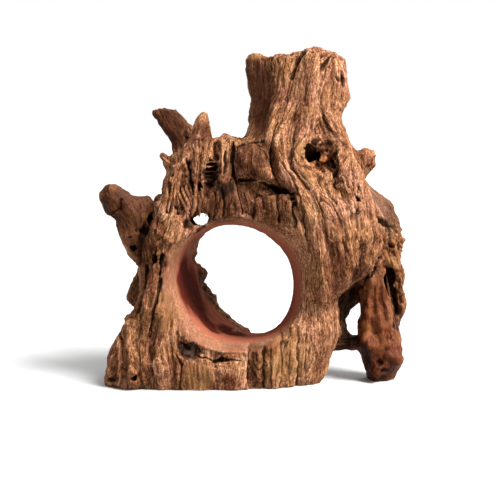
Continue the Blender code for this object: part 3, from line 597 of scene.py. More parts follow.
# Where the wood is rougher or smoother, in balls: shares of the flutes, cords, fibres, lumps, checks, crumbs
reliefZones = [
    ((1.7, 1.6, 1.2, 0.6, 1.0, 0.3), [(-92, -42, 130, 36), (-96, -44, 95, 34), (-98, -46, 62, 34),
                                      (-104, -40, 35, 34), (-80, -42, 160, 30)]),
    ((1.7, 1.9, 1.4, 0.6, 1.0, 0.3), [(-68, -34, 184, 24), (-72, -30, 206, 14)]),
    ((0.6, 0.9, 1.3, 0.8, 0.4, 0.4), [(-52, -24, 228, 20), (-50, -34, 204, 12)]),
    ((0.4, 0.6, 1.0, 1.2, 0.3, 1.4), [(-66, -28, 208, 9)]),
    ((0.5, 0.8, 1.2, 1.5, 0.6, 0.8), [(8, -36, 222, 26), (26, -38, 216, 18), (-4, -30, 232, 20)]),
    ((0.45, 0.8, 1.3, 1.8, 0.7, 0.3), [(84, -50, 176, 34), (84, -54, 146, 34), (70, -52, 190, 26),
                                       (72, -50, 116, 28)]),
    ((0.6, 0.5, 0.5, 2.2, 0.2, 0.6), [(130, 0, 24, 38), (126, 2, 56, 30), (122, 2, 90, 26)]),
    ((0.5, 1.3, 1.3, 0.5, 1.1, 0.3), [(-40, -50, 16, 34), (0, -50, 20, 30), (40, -44, 28, 34)]),
    ((1.5, 1.5, 1.3, 2.0, 0.6, 0.6), [(-128, -34, 14, 26), (-120, -40, 26, 22), (-112, -42, 44, 22)]),
    ((0.5, 0.6, 0.8, 1.4, 0.4, 0.5), [(-128, -8, 178, 32), (-82, 10, 258, 24)]),
    ((0.8, 1.2, 1.3, 1.6, 0.6, 1.9), [(76, -38, 224, 18), (-36, -32, 210, 15)]),
    ((0.9, 1.4, 1.4, 2.4, 1.2, 2.4), [(142, 8, 142, 24), (148, 6, 110, 16), (146, 6, 84, 16)]),
    ((1.0, 1.4, 1.2, 3.0, 0.5, 1.4), [(-50, 74, 102, 30), (-44, 74, 74, 22)]),
    ((0.55, 0.7, 1.2, 0.8, 0.8, 0.3), [(50, -24, 292, 40), (36, -30, 262, 30), (76, -22, 276, 26),
                                       (46, -16, 314, 26)]),
    ((0.8, 1.0, 1.3, 1.2, 0.5, 2.0), [(4, -14, 322, 13)]),
    ((1.9, 1.4, 1.0, 0.8, 1.2, 0.4), [(-98, 56, 60, 38), (-86, 46, 134, 34), (92, 44, 128, 40),
                                      (60, 50, 60, 34), (70, 40, 214, 34), (-30, 36, 194, 24)]),
    ((0.5, 0.7, 1.0, 1.8, 0.6, 0.4), [(0, 62, 22, 30), (84, 26, 276, 24), (10, 36, 206, 20),
                                      (-60, 64, 40, 20)]),
    ((0.5, 0.5, 0.9, 1.0, 0.2, 0.2), [(128, 12, 182, 22), (140, 14, 168, 16), (114, 12, 192, 18)]),
]


def zoneShares(points):
    shares = np.ones((len(points), 6), dtype=np.float32)
    shares[:, 5] = 0.3
    for values, balls in reliefZones:
        mask = inBalls(points, balls)[:, None]
        shares = shares * (1 - mask) + mask * np.array(values, dtype=np.float32)
    return shares


# where the wood is sawn across and shows bold upright stripes: x, y, z, radius
stripedBalls = [(-44, -50, 18, 30), (0, -50, 22, 34), (40, -44, 26, 36), (66, -38, 26, 26)]


sightLook = {
    "cell": 3.0, "cells": 130,          # mm, a grid of columns through the wood
    "left": 180.0, "below": 12.0,       # and where it starts
    "behind": (17.0, 8.0),              # mm behind the nearest wood: hidden, and seen
    "turned": (-0.25, 0.1),
}


def facing(points, normals, side):
    # 1 on the skin that a viewer in front (side -1) or behind (side 1) sees
    column = ((points[:, 0] + sightLook["left"]) / sightLook["cell"]).astype(np.int32)
    row = ((points[:, 2] + sightLook["below"]) / sightLook["cell"]).astype(np.int32)
    nearest = np.full((sightLook["cells"], sightLook["cells"]), -1e9, dtype=np.float32)
    np.maximum.at(nearest, (column, row), side * points[:, 1])
    behind = nearest[column, row] - side * points[:, 1]
    seen = soft(*sightLook["behind"], behind) * soft(*sightLook["turned"], side * normals[:, 1])
    return seen.astype(np.float32)


# The walks along the grain, coarse to fine: mm a step, steps each way, each pattern's size in mm and block
grainWalks = [
    (4.0, 12, {"flute": (9.5, 0), "band": (16.0, 1), "check": (6.0, 2)}),
    (2.5, 10, {"cord": (3.2, 3), "flake": (6.0, 6), "wideStreak": (3.6, 4)}),
    (1.5, 8, {"fibre": (1.5, 5), "fineStreak": (1.5, 9)}),
]
evenRounds = {"flute": 3, "check": 6, "cord": 1, "flake": 1}


def grainPatterns(points, edges, counts):
    short = 1.0
    drawn = {}
    for step, rounds, patterns in grainWalks:
        values = drawnOut(points, step, int(rounds * short) + 2, list(patterns.values()))
        drawn.update(zip(patterns, values))
    for name, rounds in evenRounds.items():
        drawn[name] = evened(drawn[name], edges, counts, rounds)
    drawn["knobs"] = mottle(points, 14.0, 10) + 0.5 * mottle(points, 7.0, 11)
    drawn["crumb"] = mottle(points, 3.2, 8)
    return drawn


wobbleLook = {
    "sway": (0.8, 5.0),                 # mm that a drawn line wanders, and over what length
    "ragged": (0.38, 2.6),              # the same for the edge of a pit
    "opening": (0.7, 8.0), "open": 0.85,
    "openRange": (0.3, 1.3),            # how far a split may close and open
}


def wobbles(points):
    def wave(kind, block):
        amount, size = wobbleLook[kind]
        return amount * mottle(points, size, block)

    return {"x": wave("sway", 1), "z": wave("sway", 2), "ragged": wave("ragged", 4),
            "open": np.clip(wobbleLook["open"] + wave("opening", 3), *wobbleLook["openRange"])}


# Where the depth and the painted shade of a cut start and where they are full, as shares of its half width
cutShape = {"split": (1.5, 0.35), "splitShade": (1.7, 0.5), "pit": (1.15, 0.35), "pitShade": (1.25, 0.6)}


def carveSide(x, z, wobble, splits, pits, seen):
    # depth to take away and how dark it is painted inside, as shade
    depth = np.zeros(len(x), dtype=np.float32)
    dark = np.zeros(len(x), dtype=np.float32)
    for halfWidth, deep, darkness, line in splits:
        # a split is wide in places and nearly shut in others
        off = nearLine(x, z, line) / (halfWidth * wobble["open"])
        depth = np.maximum(depth, deep * soft(*cutShape["split"], off))
        dark = np.maximum(dark, darkness * soft(*cutShape["splitShade"], off))
    for middleX, middleZ, halfWidth, halfHeight, lean, deep in pits:
        turn = math.radians(lean)
        u = ((x - middleX) * math.cos(turn) + (z - middleZ) * math.sin(turn)) / halfWidth
        w = ((z - middleZ) * math.cos(turn) - (x - middleX) * math.sin(turn)) / halfHeight
        off = np.hypot(u, w) + wobble["ragged"]
        depth = np.maximum(depth, deep * soft(*cutShape["pit"], off))
        dark = np.maximum(dark, soft(*cutShape["pitShade"], off))
    return depth * seen, dark * seen


# The broken top of the trunk
breakLook = {
    "facing": (0.35, 0.8),      # how far it faces up
    "from": (285.0, 300.0),     # mm above the floor
    "calm": 0.7,                # share of the grain's relief that is missing there
    "crumbs": 1.6,
    "lumps": (1.2, 6.0),        # mm high and mm across
    "sunk": 1.4,
}
# The wall of the bore: its fine relief, and how uneven its worn floor is
boreRelief = {"fibres": 0.12, "crumbs": 0.10, "knobs": 1.1, "lumps": (0.4, 6.0)}


def grainHeight(points, points32, normals, drawn, checks, bored, inside):
    # the relief of the grain and what stands out in the outline, in mm
    shares = zoneShares(points32)
    broken = soft(*breakLook["facing"], normals[:, 2]) * soft(*breakLook["from"], points[:, 2])
    flute, cord, flake, crumb = (drawn[name] for name in ("flute", "cord", "flake", "crumb"))
    # ridges are rounded and the valleys between them sharp
    fluteShape = np.sqrt(flute * flute + reliefShapes["fluteFoot"]) - reliefShapes["crest"]
    cordShape = np.sqrt(cord * cord + reliefShapes["cordFoot"]) - reliefShapes["crest"]
    flakeShape = np.tanh(reliefShapes["flakeStep"] * flake) + reliefShapes["flakeSlope"] * flake
    height = woodLook["warp"] * mottle(points32, reliefSizes["warp"], 9)
    height += woodLook["flutes"] * shares[:, 0] * fluteShape
    height += woodLook["flakes"] * shares[:, 1] * flakeShape
    height += woodLook["cords"] * shares[:, 1] * cordShape
    height += woodLook["fibres"] * shares[:, 2] * drawn["fibre"]
    height += woodLook["lumps"] * shares[:, 3] * drawn["knobs"]
    height -= woodLook["checks"] * shares[:, 4] * checks
    crumbs = crumb + 0.8 * np.abs(mottle(points32, reliefSizes["crumb"], 2)) - 0.4
    height += woodLook["crumbs"] * shares[:, 5] * crumbs
    height *= (1.0 - bored) * (1.0 - breakLook["calm"] * broken)
    amount, size = breakLook["lumps"]
    rubble = breakLook["crumbs"] * crumb + amount * mottle(points32, size, 2)
    height += broken * (rubble - breakLook["sunk"])
    for x, y, z, radius, lift in bosses:
        away = np.linalg.norm(points - np.array([x, y, z]), axis=1)
        height += lift * soft(radius, radius * 0.25, away)
    height += bored * (boreRelief["fibres"] * drawn["fibre"] + boreRelief["crumbs"] * crumb)
    amount, size = boreRelief["lumps"]
    worn = boreRelief["knobs"] * drawn["knobs"] + amount * mottle(points32, size, 3)
    height += inside * inBalls(points32, wornFloor) * worn
    return height


# The sunken dark block in the middle of the base: mm where each edge starts and ends, and its depth
blockLook = {"left": (-1.8, -0.6), "right": (14.8, 13.6), "top": (45.0, 43.0), "depth": 1.8}
# The burnt knot: mm of its edge, how ragged that is, and its lumps
burntLook = {"edge": 1.2, "ragged": (2.2, 4.5), "lumps": (1.6, 5.0), "crumbs": 1.0, "sunk": 1.0}
# The window beside the bore keeps its width: mm taken away, and x, y, z, radius
windowLook = {"opened": 0.5, "balls": [(-50, -30, 169, 15), (-50, -10, 167, 15), (-50, 12, 164, 15)]}


def addFrontForms(height, points, x, z, face):
    # ridges, plates and lumps that are drawn as the viewer in front sees them
    for halfWidth, lift, line in frontRidges:
        height += face * lift * soft(halfWidth * 1.6, halfWidth * 0.3, nearLine(x, z, line))
    for lift, edge, outline in frontPlates:
        height += face * lift * soft(-edge, edge, insideOutline(x, z, outline))
    for lumpX, lumpZ, radius, lift in frontLumps:
        off = np.hypot(points[:, 0] - lumpX, points[:, 2] - lumpZ)
        height += face * lift * soft(radius, radius * 0.2, off)


# Painted shade: how dark the wood is in its cuts and dips, where shade falls, and how pale on its crests,
# partly wear and partly painted highlight
dipLook = {
    "fine": 1.4, "broad": 0.55,         # mm below the skin around it, over 3 and over 25 rounds
    "creaseShade": (0.4, 1.9), "creaseShadeStrength": 0.66,
    "worn": 0.55,
    "checks": 0.85,
    "back": 0.8,                        # the splits behind are paler
}
# Streaks of colour along the grain, and how much more there is on the sawn base
streakLook = {
    "fine": 0.20,
    "wide": (0.10, 0.10),
    "band": (0.05, 0.08),
    "sway": 1.2,
    "baseTop": (62.0, 46.0),
}
stainLook = ((0.5, 42.0, 0), (0.3, 17.0, 5))        # strength, mm across and block


def streakMark(points, drawn, wobble, face):
    striped = inBalls(points, stripedBalls)
    stripes = np.zeros(len(points), dtype=np.float32)
    for x, halfWidth, change in baseStripes:
        off = np.abs(points[:, 0] + streakLook["sway"] * wobble["x"] - x)
        stripes += change * soft(halfWidth * 1.4, halfWidth * 0.5, off)
    stripes *= face * soft(*streakLook["baseTop"], points[:, 2])
    streak = 0.5 + streakLook["fine"] * drawn["fineStreak"]
    for kind, pattern in (("wide", "wideStreak"), ("band", "band")):
        share, more = streakLook[kind]
        streak = streak + (share + more * striped) * drawn[pattern]
    return np.clip(streak + stripes, 0.0, 1.0)


def carvedWood(points, quads, edges, counts):
    points = calmed(points, quads, edges, counts)
    normals = evened(pointNormals(points, quads), edges, counts, 6)
    normals /= np.linalg.norm(normals, axis=1, keepdims=True)
    points32 = points.astype(np.float32)
    drawn = grainPatterns(points32, edges, counts)
    print("grain drawn out")

    front = facing(points, normals, -1.0)
    back = facing(points, normals, 1.0)
    bored, inside = boredMask(points32)
    wild = 1.0 - bored
    checkPlaces = soft(*reliefShapes["checkPlace"], mottle(points32, reliefSizes["checkPlace"], 7))
    checks = soft(*reliefShapes["check"], np.abs(drawn["check"])) * checkPlaces
    height = grainHeight(points, points32, normals, drawn, checks, bored, inside)

    wobble = wobbles(points32)
    x = points[:, 0] + wobble["x"]
    z = points[:, 2] + wobble["z"]
    depthFront, cutShadeFront = carveSide(x, z, wobble, frontSplits, frontPits, front)
    depthBack, cutShadeBack = carveSide(x, z, wobble, backSplits, backPits, back)
    cutShadeBack *= dipLook["back"]
    addFrontForms(height, points, x, z, front * wild)
    block = front * soft(*blockLook["left"], points[:, 0]) * soft(*blockLook["right"], points[:, 0])
    block *= soft(*blockLook["top"], points[:, 2])
    height -= blockLook["depth"] * block
    amount, size = burntLook["ragged"]
    burntDepth = insideOutline(x, z, burntKnot) + amount * mottle(points32, size, 7)
    burnt = front * soft(-burntLook["edge"], burntLook["edge"], burntDepth)
    amount, size = burntLook["lumps"]
    lumps = amount * np.abs(mottle(points32, size, 6)) + burntLook["crumbs"] * drawn["crumb"]
    height += burnt * (lumps - burntLook["sunk"])
    height -= np.maximum(depthFront, depthBack) * (1.0 - 0.75 * bored)
    kept = woodLook["floorRelief"]
    height *= soft(0.0, woodLook["floorBand"], points[:, 2]) * (1.0 - kept) + kept
    height -= windowLook["opened"] * inBalls(points32, windowLook["balls"])

    moved = points + normals * height[:, None]
    for middleX, middleY, middleZ, radius, pull in pulls:
        away = np.linalg.norm(points - np.array([middleX, middleY, middleZ]), axis=1)
        moved += soft(radius, radius * 0.3, away)[:, None] * np.array(pull)
    moved = evened(moved, edges, counts, 1, 0.2)
    moved[:, 2] = np.maximum(moved[:, 2], 0.0)

    # how far each point sits below the skin around it, finely and broadly
    ways = pointNormals(moved, quads)
    near = evened(moved, edges, counts, 3)
    fineDip = np.einsum("ij,ij->i", near - moved, ways)
    broadDip = np.einsum("ij,ij->i", evened(near, edges, counts, 22) - moved, ways)
    dip = dipLook["fine"] * fineDip + dipLook["broad"] * broadDip
    # painted shade in the splits, pits and checks, and in the dips of the skin
    creaseShade = np.maximum(np.maximum(cutShadeFront, cutShadeBack), dipLook["checks"] * checks * wild)
    stain = 0.5
    for amount, size, patternBlock in stainLook:
        stain = stain + amount * mottle(points32, size, patternBlock)
    marks = {
        "lean": grainLean(points32),
        "creaseShade": np.maximum(creaseShade, dipLook["creaseShadeStrength"] * soft(*dipLook["creaseShade"], dip)),
        # paler on the crests: partly wear, partly painted highlight where the light catches them
        "worn": np.clip(0.5 - dipLook["worn"] * dip, 0.0, 1.0),
        "streak": streakMark(points, drawn, wobble, front * wild),
        "stain": np.clip(stain, 0.0, 1.0),
        "bored": bored,
        "within": inside,
        "block": block,
        "char": burnt,
    }
    return moved, marks


# Places of each tint and each painted shade, in balls: x, y, z, radius
tintAndShadePlaces = {
    "red": [(129, -6, 20, 36), (122, -6, 50, 30), (116, -8, 84, 26), (72, -36, 220, 13),
            (60, -20, 230, 12), (-20, -50, 12, 12), (-14, -44, 40, 12), (20, -46, 40, 10)],
    "ochre": [(-80, -50, 72, 19), (-84, -50, 86, 12), (-50, -54, 14, 18), (34, -40, 30, 30),
              (-9, -50, 24, 7), (22, -46, 24, 8), (50, -44, 236, 10), (2, -14, 322, 9), (-42, -6, 268, 8),
              (123, -12, 72, 9), (119, -10, 54, 8), (134, -22, 28, 9), (144, 0, 118, 8)],
    "ash": [(134, 10, 166, 26), (120, 10, 184, 22), (-52, 76, 96, 18), (-48, 74, 72, 14),
            (-150, -8, 188, 10), (-14, -36, 49, 15), (10, -36, 48, 15)],
    # umber: a browner, darker wood, laid mostly where the wood lies in shade, so partly painted shade
    "umberAndShade": [(-96, -36, 124, 40), (-104, -36, 80, 40), (-116, -36, 30, 40), (100, -44, 130, 34),
              (112, -30, 160, 30), (84, -50, 150, 26), (78, -44, 100, 26), (-46, -20, 236, 26),
              (-60, -34, 190, 34), (4, -44, 216, 34), (20, -48, 180, 34), (112, 0, 218, 18),
              (-62, -46, 32, 30), (126, -10, 14, 30), (84, -54, 128, 22), (-84, 8, 254, 32)],
    # painted shade: the wood is darkened where it lies in shade, on the left limbs, under the ledge and on
    # the trunk's left
    "paintedShade": [(-122, -10, 176, 35), (-82, 10, 252, 30), (-26, -34, 186, 34), (2, -40, 226, 26),
             (24, -48, 178, 27), (-112, 40, 88, 28), (6, -20, 284, 32), (0, -12, 308, 20),
             (104, -40, 116, 20), (-100, -36, 132, 26), (-46, -14, 250, 14), (74, -33, 236, 9)],
    "shadow": [(-136, -10, 180, 24), (-24, -40, 178, 24), (-100, 0, 252, 40), (-96, -40, 150, 24),
               (106, -36, 106, 22), (-70, 60, 90, 50), (-98, -44, 112, 20), (-86, 8, 256, 26),
               (128, -20, 12, 24), (26, -14, 310, 20), (20, -22, 286, 20), (10, -24, 262, 18),
               (90, -54, 124, 20)],
    # painted deep shade: near black behind the leg, in the root crevices and in the recesses beside the
    # window
    "deepShade": [(96, 18, 40, 18), (88, 22, 66, 22), (98, 22, 106, 20), (92, -8, 93, 16), (95, 6, 37, 17),
              (106, 4, 37, 13), (97, 13, 78, 22), (113, -8, 34, 16), (102, 2, 102, 12),
              (-34, -36, 208, 13), (-24, -40, 196, 12), (-58, -30, 176, 8), (-38, -36, 171, 7),
              (-48, -38, 156, 6), (-61, -44, 164, 7), (110, -6, 20, 12)],
    "polished": [(128, -6, 24, 40), (124, -6, 62, 34), (118, -6, 96, 24), (-122, -10, 170, 44),
                 (-104, -12, 140, 24), (-84, 10, 256, 30), (132, 12, 172, 26), (116, 12, 192, 22),
                 (2, -16, 286, 28), (6, -22, 262, 20), (2, -10, 306, 18)],
    # the bore's far left wall: deep red wood, darkened further as painted shade
    "redBoreShade": [(-66, 0, 96, 40), (-60, 24, 84, 40), (-44, 10, 60, 26), (-20, 30, 44, 22)],
}
tintAndShadeEdge = (5.0, 11.0)      # mm that a tint's edge wanders, and over what length


def tintAndShadeMarks(points):
    points32 = points.astype(np.float32)
    amount, size = tintAndShadeEdge
    edge = amount * np.stack([mottle(points32, size, i) for i in (1, 2, 3)], axis=1)
    return {name: inBalls(points32 + edge, balls) for name, balls in tintAndShadePlaces.items()}


def markMesh(mesh, marks, chosen=None):
    for name, values in marks.items():
        layer = mesh.attributes.new(name, "FLOAT", "POINT")
        kept = values if chosen is None else values[chosen]
        layer.data.foreach_set("value", np.ascontiguousarray(kept, dtype=np.float32))


# The wood's colours, from its cracks to its crests, paler there from wear and painted highlight, and what
# each tint and painted shade does to them
finishLook = {
    "deep": (0.026, 0.007, 0.003),
    "brown": (0.098, 0.036, 0.016),
    "mid": (0.215, 0.095, 0.047),
    "tan": (0.385, 0.200, 0.112),
    "pale": (0.590, 0.365, 0.235),
    # mixed in
    "bored": (0.275, 0.122, 0.074),
    "within": (0.275, 0.074, 0.041),
    "ochre": (0.250, 0.120, 0.042),
    # deep red wood darkened as painted shade inside the bore
    "redBoreShade": (0.050, 0.004, 0.001),
    # near black, painted into the cuts, pits and dips as shade
    "inside": (0.014, 0.005, 0.002),
    # laid over, so the grain stays in view
    "ash": (0.62, 0.84, 1.15),
    "char": (0.14, 0.17, 0.24),
    # browner wood and painted shade together
    "umberAndShade": (0.66, 0.58, 0.52),
    # painted shade, laid over the grain
    "paintedShade": (0.40, 0.34, 0.31),
    # painted deep shade, laid over the grain
    "deepShade": (0.08, 0.06, 0.05),
    "red": (0.60, 0.38, 0.26),
    "shadow": (0.60, 0.53, 0.49),
    "block": (0.54, 0.46, 0.41),
    "dark": (0.71, 0.62, 0.55),
    "rosy": (1.03, 0.97, 1.03),
    "golden": (1.03, 1.02, 0.86),
}
# Each tint and painted shade in the order it is laid on: its share, and whether it is mixed in or laid over
tintAndShadeLayers = [
    ("dark", 1.00, "over"), ("ash", 0.70, "over"), ("ochre", 0.56, "mixed"), ("umberAndShade", 0.80, "over"),
    ("paintedShade", 0.85, "over"), ("shadow", 0.90, "over"), ("red", 0.80, "over"), ("bored", 0.30, "mixed"),
    ("within", 0.80, "mixed"), ("redBoreShade", 0.92, "within"), ("char", 0.95, "over"), ("deepShade", 0.90, "over"),
    ("block", 0.80, "over"),
]
# One number from dark to pale: how much each pattern adds to it, and the colour at each step
toneParts = {
    "streak": 0.29,
    "worn": 0.17,
    "stain": 0.10,
    "fine": 0.42,
    "cloudy": 0.08,
    "threads": 0.74,
    "flecks": 0.96,
}
toneSteps = [(0.16, "deep"), (0.36, "brown"), (0.53, "mid"), (0.70, "tan"), (0.90, "pale")]
toneLook = {
    "offset": -0.892,
    "middle": 0.46,         # the tone that smooth wood is drawn towards
    "polished": 0.42,       # how far the polished wood is
    "bored": 0.30,          # and the bored wood
}
poreLook = {"below": 0.41, "edge": 8.0, "dark": 0.56, "bored": 0.3, "creaseShade": 0.94}
mattLook = {"bored": 0.10, "within": 0.20, "fine": 0.25, "polished": 0.03, "offset": 0.12}
bumpLook = {"fine": 0.5, "threads": 1.2, "flecks": 0.9, "strength": 0.9, "depth": 0.0009}
# spots to a metre, detail and roughness of each cloud of spots
spotLook = {"fine": (620.0, 3.0, 0.65), "cloudy": (70.0, 3.0, 0.55), "hue": (38.0, 2.0, 0.55)}
# metres across and along the grain
fibreSizes = {"threads": (0.0009, 0.0009, 0.0130), "flecks": (0.0010, 0.0010, 0.0036)}
fibreLean = {"step": 25.0, "angles": (-50.0, -25.0, 0.0, 25.0, 50.0), "level": 90.0, "levelReach": 1.6}


def woodFinish(name, roughness, gloss):
    material = bpy.data.materials.new(name)
    material.use_nodes = True
    nodes, links = material.node_tree.nodes, material.node_tree.links
    shader = nodes["Principled BSDF"]

    def attribute(mark):
        node = nodes.new("ShaderNodeAttribute")
        node.attribute_name = mark
        return node.outputs["Fac"]

    def plug(socket, value):
        # a number or a colour is set, a socket is linked
        if isinstance(value, (int, float)):
            socket.default_value = value
        elif isinstance(value, tuple):
            socket.default_value = value + (1.0,)
        else:
            links.new(value, socket)

    def sums(kind, a, b, clamp=False):
        node = nodes.new("ShaderNodeMath")
        node.operation = kind
        node.use_clamp = clamp
        plug(node.inputs[0], a)
        plug(node.inputs[1], b)
        return node.outputs[0]

    def scaled(value, share):
        return sums("MULTIPLY", value, share)

    def mixed(amount, first, second, kind="MIX"):
        node = nodes.new("ShaderNodeMix")
        node.data_type = "RGBA"
        node.blend_type = kind
        plug(node.inputs[0], amount)
        plug(node.inputs[6], first)
        plug(node.inputs[7], second)
        return node.outputs[2]

    where = nodes.new("ShaderNodeTexCoord").outputs["Object"]

    def noise(place, scale, detail, rough):
        node = nodes.new("ShaderNodeTexNoise")
        node.inputs["Scale"].default_value = scale
        node.inputs["Detail"].default_value = detail
        node.inputs["Roughness"].default_value = rough
        links.new(place, node.inputs["Vector"])
        return node.outputs["Fac"]

    patterns = {name: noise(where, *spotLook[name]) for name in ("fine", "cloudy")}
    fine = patterns["fine"]

    # long threads and short flecks, each stretched along whichever of six directions lies nearest the grain
    lean = attribute("lean")

    def fibresAlong(angle, share):
        for kind, size in fibreSizes.items():
            turn = nodes.new("ShaderNodeMapping")
            turn.vector_type = "TEXTURE"
            turn.inputs["Rotation"].default_value = (0.0, math.radians(angle), 0.0)
            turn.inputs["Scale"].default_value = size
            links.new(where, turn.inputs["Vector"])
            part = sums("MULTIPLY", share, noise(turn.outputs["Vector"], 1.0, 1.5, 0.6))
            patterns[kind] = part if kind not in patterns else sums("ADD", patterns[kind], part)

    for angle in fibreLean["angles"]:
        away = sums("ABSOLUTE", sums("SUBTRACT", lean, angle), 0.0)
        fibresAlong(angle, sums("SUBTRACT", 1.0, sums("DIVIDE", away, fibreLean["step"]), True))
    level = fibreLean["level"]
    away = sums("SUBTRACT", level, sums("ABSOLUTE", lean, 0.0))
    away = sums("DIVIDE", away, fibreLean["step"])
    fibresAlong(level, sums("SUBTRACT", fibreLean["levelReach"], away, True))

    for mark in ("streak", "worn", "stain"):
        patterns[mark] = attribute(mark)
    tone = toneLook["offset"]
    for part, share in toneParts.items():
        tone = sums("ADD", scaled(patterns[part], share), tone)
    # smooth wood shows less of all this
    rough = sums("SUBTRACT", 1.0, scaled(attribute("polished"), toneLook["polished"]))
    rough = sums("SUBTRACT", rough, scaled(attribute("bored"), toneLook["bored"]), True)
    tone = sums("MULTIPLY", sums("SUBTRACT", tone, toneLook["middle"]), rough)
    tone = sums("ADD", tone, toneLook["middle"], True)
    ramp = nodes.new("ShaderNodeValToRGB")
    links.new(tone, ramp.inputs["Fac"])
    for i, (place, colour) in enumerate(toneSteps):
        stop = ramp.color_ramp.elements[i] if i < 2 else ramp.color_ramp.elements.new(place)
        stop.position = place
        stop.color = finishLook[colour] + (1.0,)

    shade = sums("ADD", scaled(fine, 0.7), 0.62)
    shadeColour = nodes.new("ShaderNodeCombineColor")
    for i in range(3):
        links.new(shade, shadeColour.inputs[i])
    hueSpots = sums("SUBTRACT", scaled(noise(where, *spotLook["hue"]), 3.0), 1.0, True)
    hue = mixed(hueSpots, finishLook["rosy"], finishLook["golden"])
    colour = mixed(1.0, ramp.outputs["Color"], hue, "MULTIPLY")
    for mark, share, way in tintAndShadeLayers:
        amount = attribute(mark)
        if way == "within":
            amount = sums("MULTIPLY", attribute("within"), amount)
        amount = scaled(amount, share)
        if way == "over":
            colour = mixed(amount, colour, finishLook[mark], "MULTIPLY")
        elif way == "mixed":
            colour = mixed(amount, colour, mixed(1.0, finishLook[mark], shadeColour.outputs[0], "MULTIPLY"))
        else:
            colour = mixed(amount, colour, finishLook[mark])
    pores = sums("MULTIPLY", sums("SUBTRACT", poreLook["below"], fine), poreLook["edge"], True)
    poreDark = sums("SUBTRACT", poreLook["dark"], scaled(attribute("bored"), poreLook["bored"]))
    colour = mixed(sums("MULTIPLY", pores, poreDark), colour, finishLook["deep"])
    # painted shade: the cuts, pits, checks and dips are drawn towards near black
    colour = mixed(scaled(attribute("creaseShade"), poreLook["creaseShade"]), colour, finishLook["inside"])
    links.new(colour, shader.inputs["Base Color"])

    matt = scaled(attribute("bored"), mattLook["bored"])
    matt = sums("ADD", matt, scaled(attribute("within"), mattLook["within"]))
    matt = sums("ADD", matt, scaled(fine, mattLook["fine"]))
    matt = sums("SUBTRACT", matt, scaled(attribute("polished"), mattLook["polished"]))
    links.new(sums("ADD", matt, roughness - mattLook["offset"], True), shader.inputs["Roughness"])
    shader.inputs["Specular IOR Level"].default_value = gloss

    height = sums("ADD", scaled(fine, bumpLook["fine"]), scaled(patterns["threads"], bumpLook["threads"]))
    height = sums("ADD", height, scaled(patterns["flecks"], bumpLook["flecks"]))
    bump = nodes.new("ShaderNodeBump")
    bump.inputs["Strength"].default_value = bumpLook["strength"]
    bump.inputs["Distance"].default_value = bumpLook["depth"]
    links.new(sums("MULTIPLY", height, rough), bump.inputs["Height"])
    links.new(bump.outputs["Normal"], shader.inputs["Normal"])
    return material


# The pieces: the solid each stands for and its finish
woodPieces = {
    "leftPillar": ("crown", "weathered_wood"),
    "spurHead": ("crown", "weathered_wood"),
    "tunnelBeam": ("crown", "weathered_wood"),
    "rightShoulder": ("crown", "weathered_wood"),
    "rightPillar": ("crown", "weathered_wood"),
    "sawnBase": ("crown", "weathered_wood"),
    "trunkStump": ("trunk", "weathered_wood"),
    "leftBranch": ("left_branch", "dark_wood"),
    "bladeSpur": ("blade_spur", "weathered_wood"),
    "pointSpur": ("point_spur", "weathered_wood"),
    "outerRoot": ("outer_root", "dark_wood"),
    "rightLeg": ("leg", "dark_wood"),
}
# Where the crown is divided, away from its holes, in mm of x or z
crownCuts = {
    "baseTop": 32.0,
    "pillarTop": 122.0,
    "pillarRight": -30.0,
    "beamRight": 38.0,
    "shoulderFoot": 148.0,
    "sillTop": 90.0,
}
# name, roughness and gloss of each finish
woodFinishes = {
    "weathered_wood": ("weatheredWood", 0.70, 0.05),
    "dark_wood": ("darkWood", 0.52, 0.065),
}


def solidTree():
    # every solid in one search tree, and which solid each of its faces is from
    corners, triangles, owners = [], [], []
    for owner, solid in enumerate(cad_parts.values()):
        start = len(corners)
        corners.extend(point.co.copy() for point in solid.data.vertices)
        for face in solid.data.polygons:
            triangles.append([start + i for i in face.vertices])
            owners.append(owner)
    return BVHTree.FromPolygons(corners, triangles), owners


def pieceOfEachPoint(points, edges, counts, solids, owners):
    names = list(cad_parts)
    metres = (points - drawingZero) * 0.001
    owner = np.array([owners[solids.find_nearest(Vector(p))[2]] for p in metres], dtype=np.int32)
    labels = np.zeros(len(points), dtype=np.int32)
    x, z = points[:, 0], points[:, 2]
    for index, (solid, _) in enumerate(woodPieces.values()):
        if solid != "crown":
            labels[owner == names.index(solid)] = index
    crown = owner == names.index("crown")
    order = list(woodPieces)
    left = x < crownCuts["pillarRight"]
    right = x >= crownCuts["beamRight"]
    upper = z >= crownCuts["pillarTop"]
    labels[crown] = order.index("rightPillar")
    labels[crown & left] = order.index("leftPillar")
    labels[crown & left & upper] = order.index("spurHead")
    labels[crown & ~left & ~right & upper] = order.index("tunnelBeam")
    labels[crown & right & (z >= crownCuts["shoulderFoot"])] = order.index("rightShoulder")
    labels[crown & (z < crownCuts["baseTop"])] = order.index("sawnBase")
    labels[crown & ~left & ~right & (z < crownCuts["sillTop"])] = order.index("sawnBase")
    shares = np.stack([(labels == i).astype(np.float32) for i in range(len(woodPieces))], axis=1)
    return evened(shares, edges, counts, skinLook["borderRounds"])


def closeRims(bm):
    # each rim is closed with a fan of faces round its middle
    for point in list(bm.verts):
        rims = [e for e in point.link_edges if e.is_boundary]
        if len(rims) > 2:
            bmesh.utils.vert_separate(point, rims)
    closed = 0
    # a dictionary keeps the order of the edges, so every run walks the rims in the same order
    left = {e: True for e in bm.edges if e.is_boundary}
    while left:
        ring, waiting = [], [left.popitem()[0]]
        while waiting:
            edge = waiting.pop()
            ring.append(edge)
            for end in edge.verts:
                for other in end.link_edges:
                    if left.pop(other, False):
                        waiting.append(other)
        loops = [edge.link_loops[0] for edge in ring]
        pairs = [(loop.link_loop_next.vert, loop.vert) for loop in loops]
        middle = bm.verts.new(sum((loop.vert.co for loop in loops), Vector()) / len(loops))
        for first, second in pairs:
            bm.faces.new((first, second, middle))
        closed += 1
    return closed


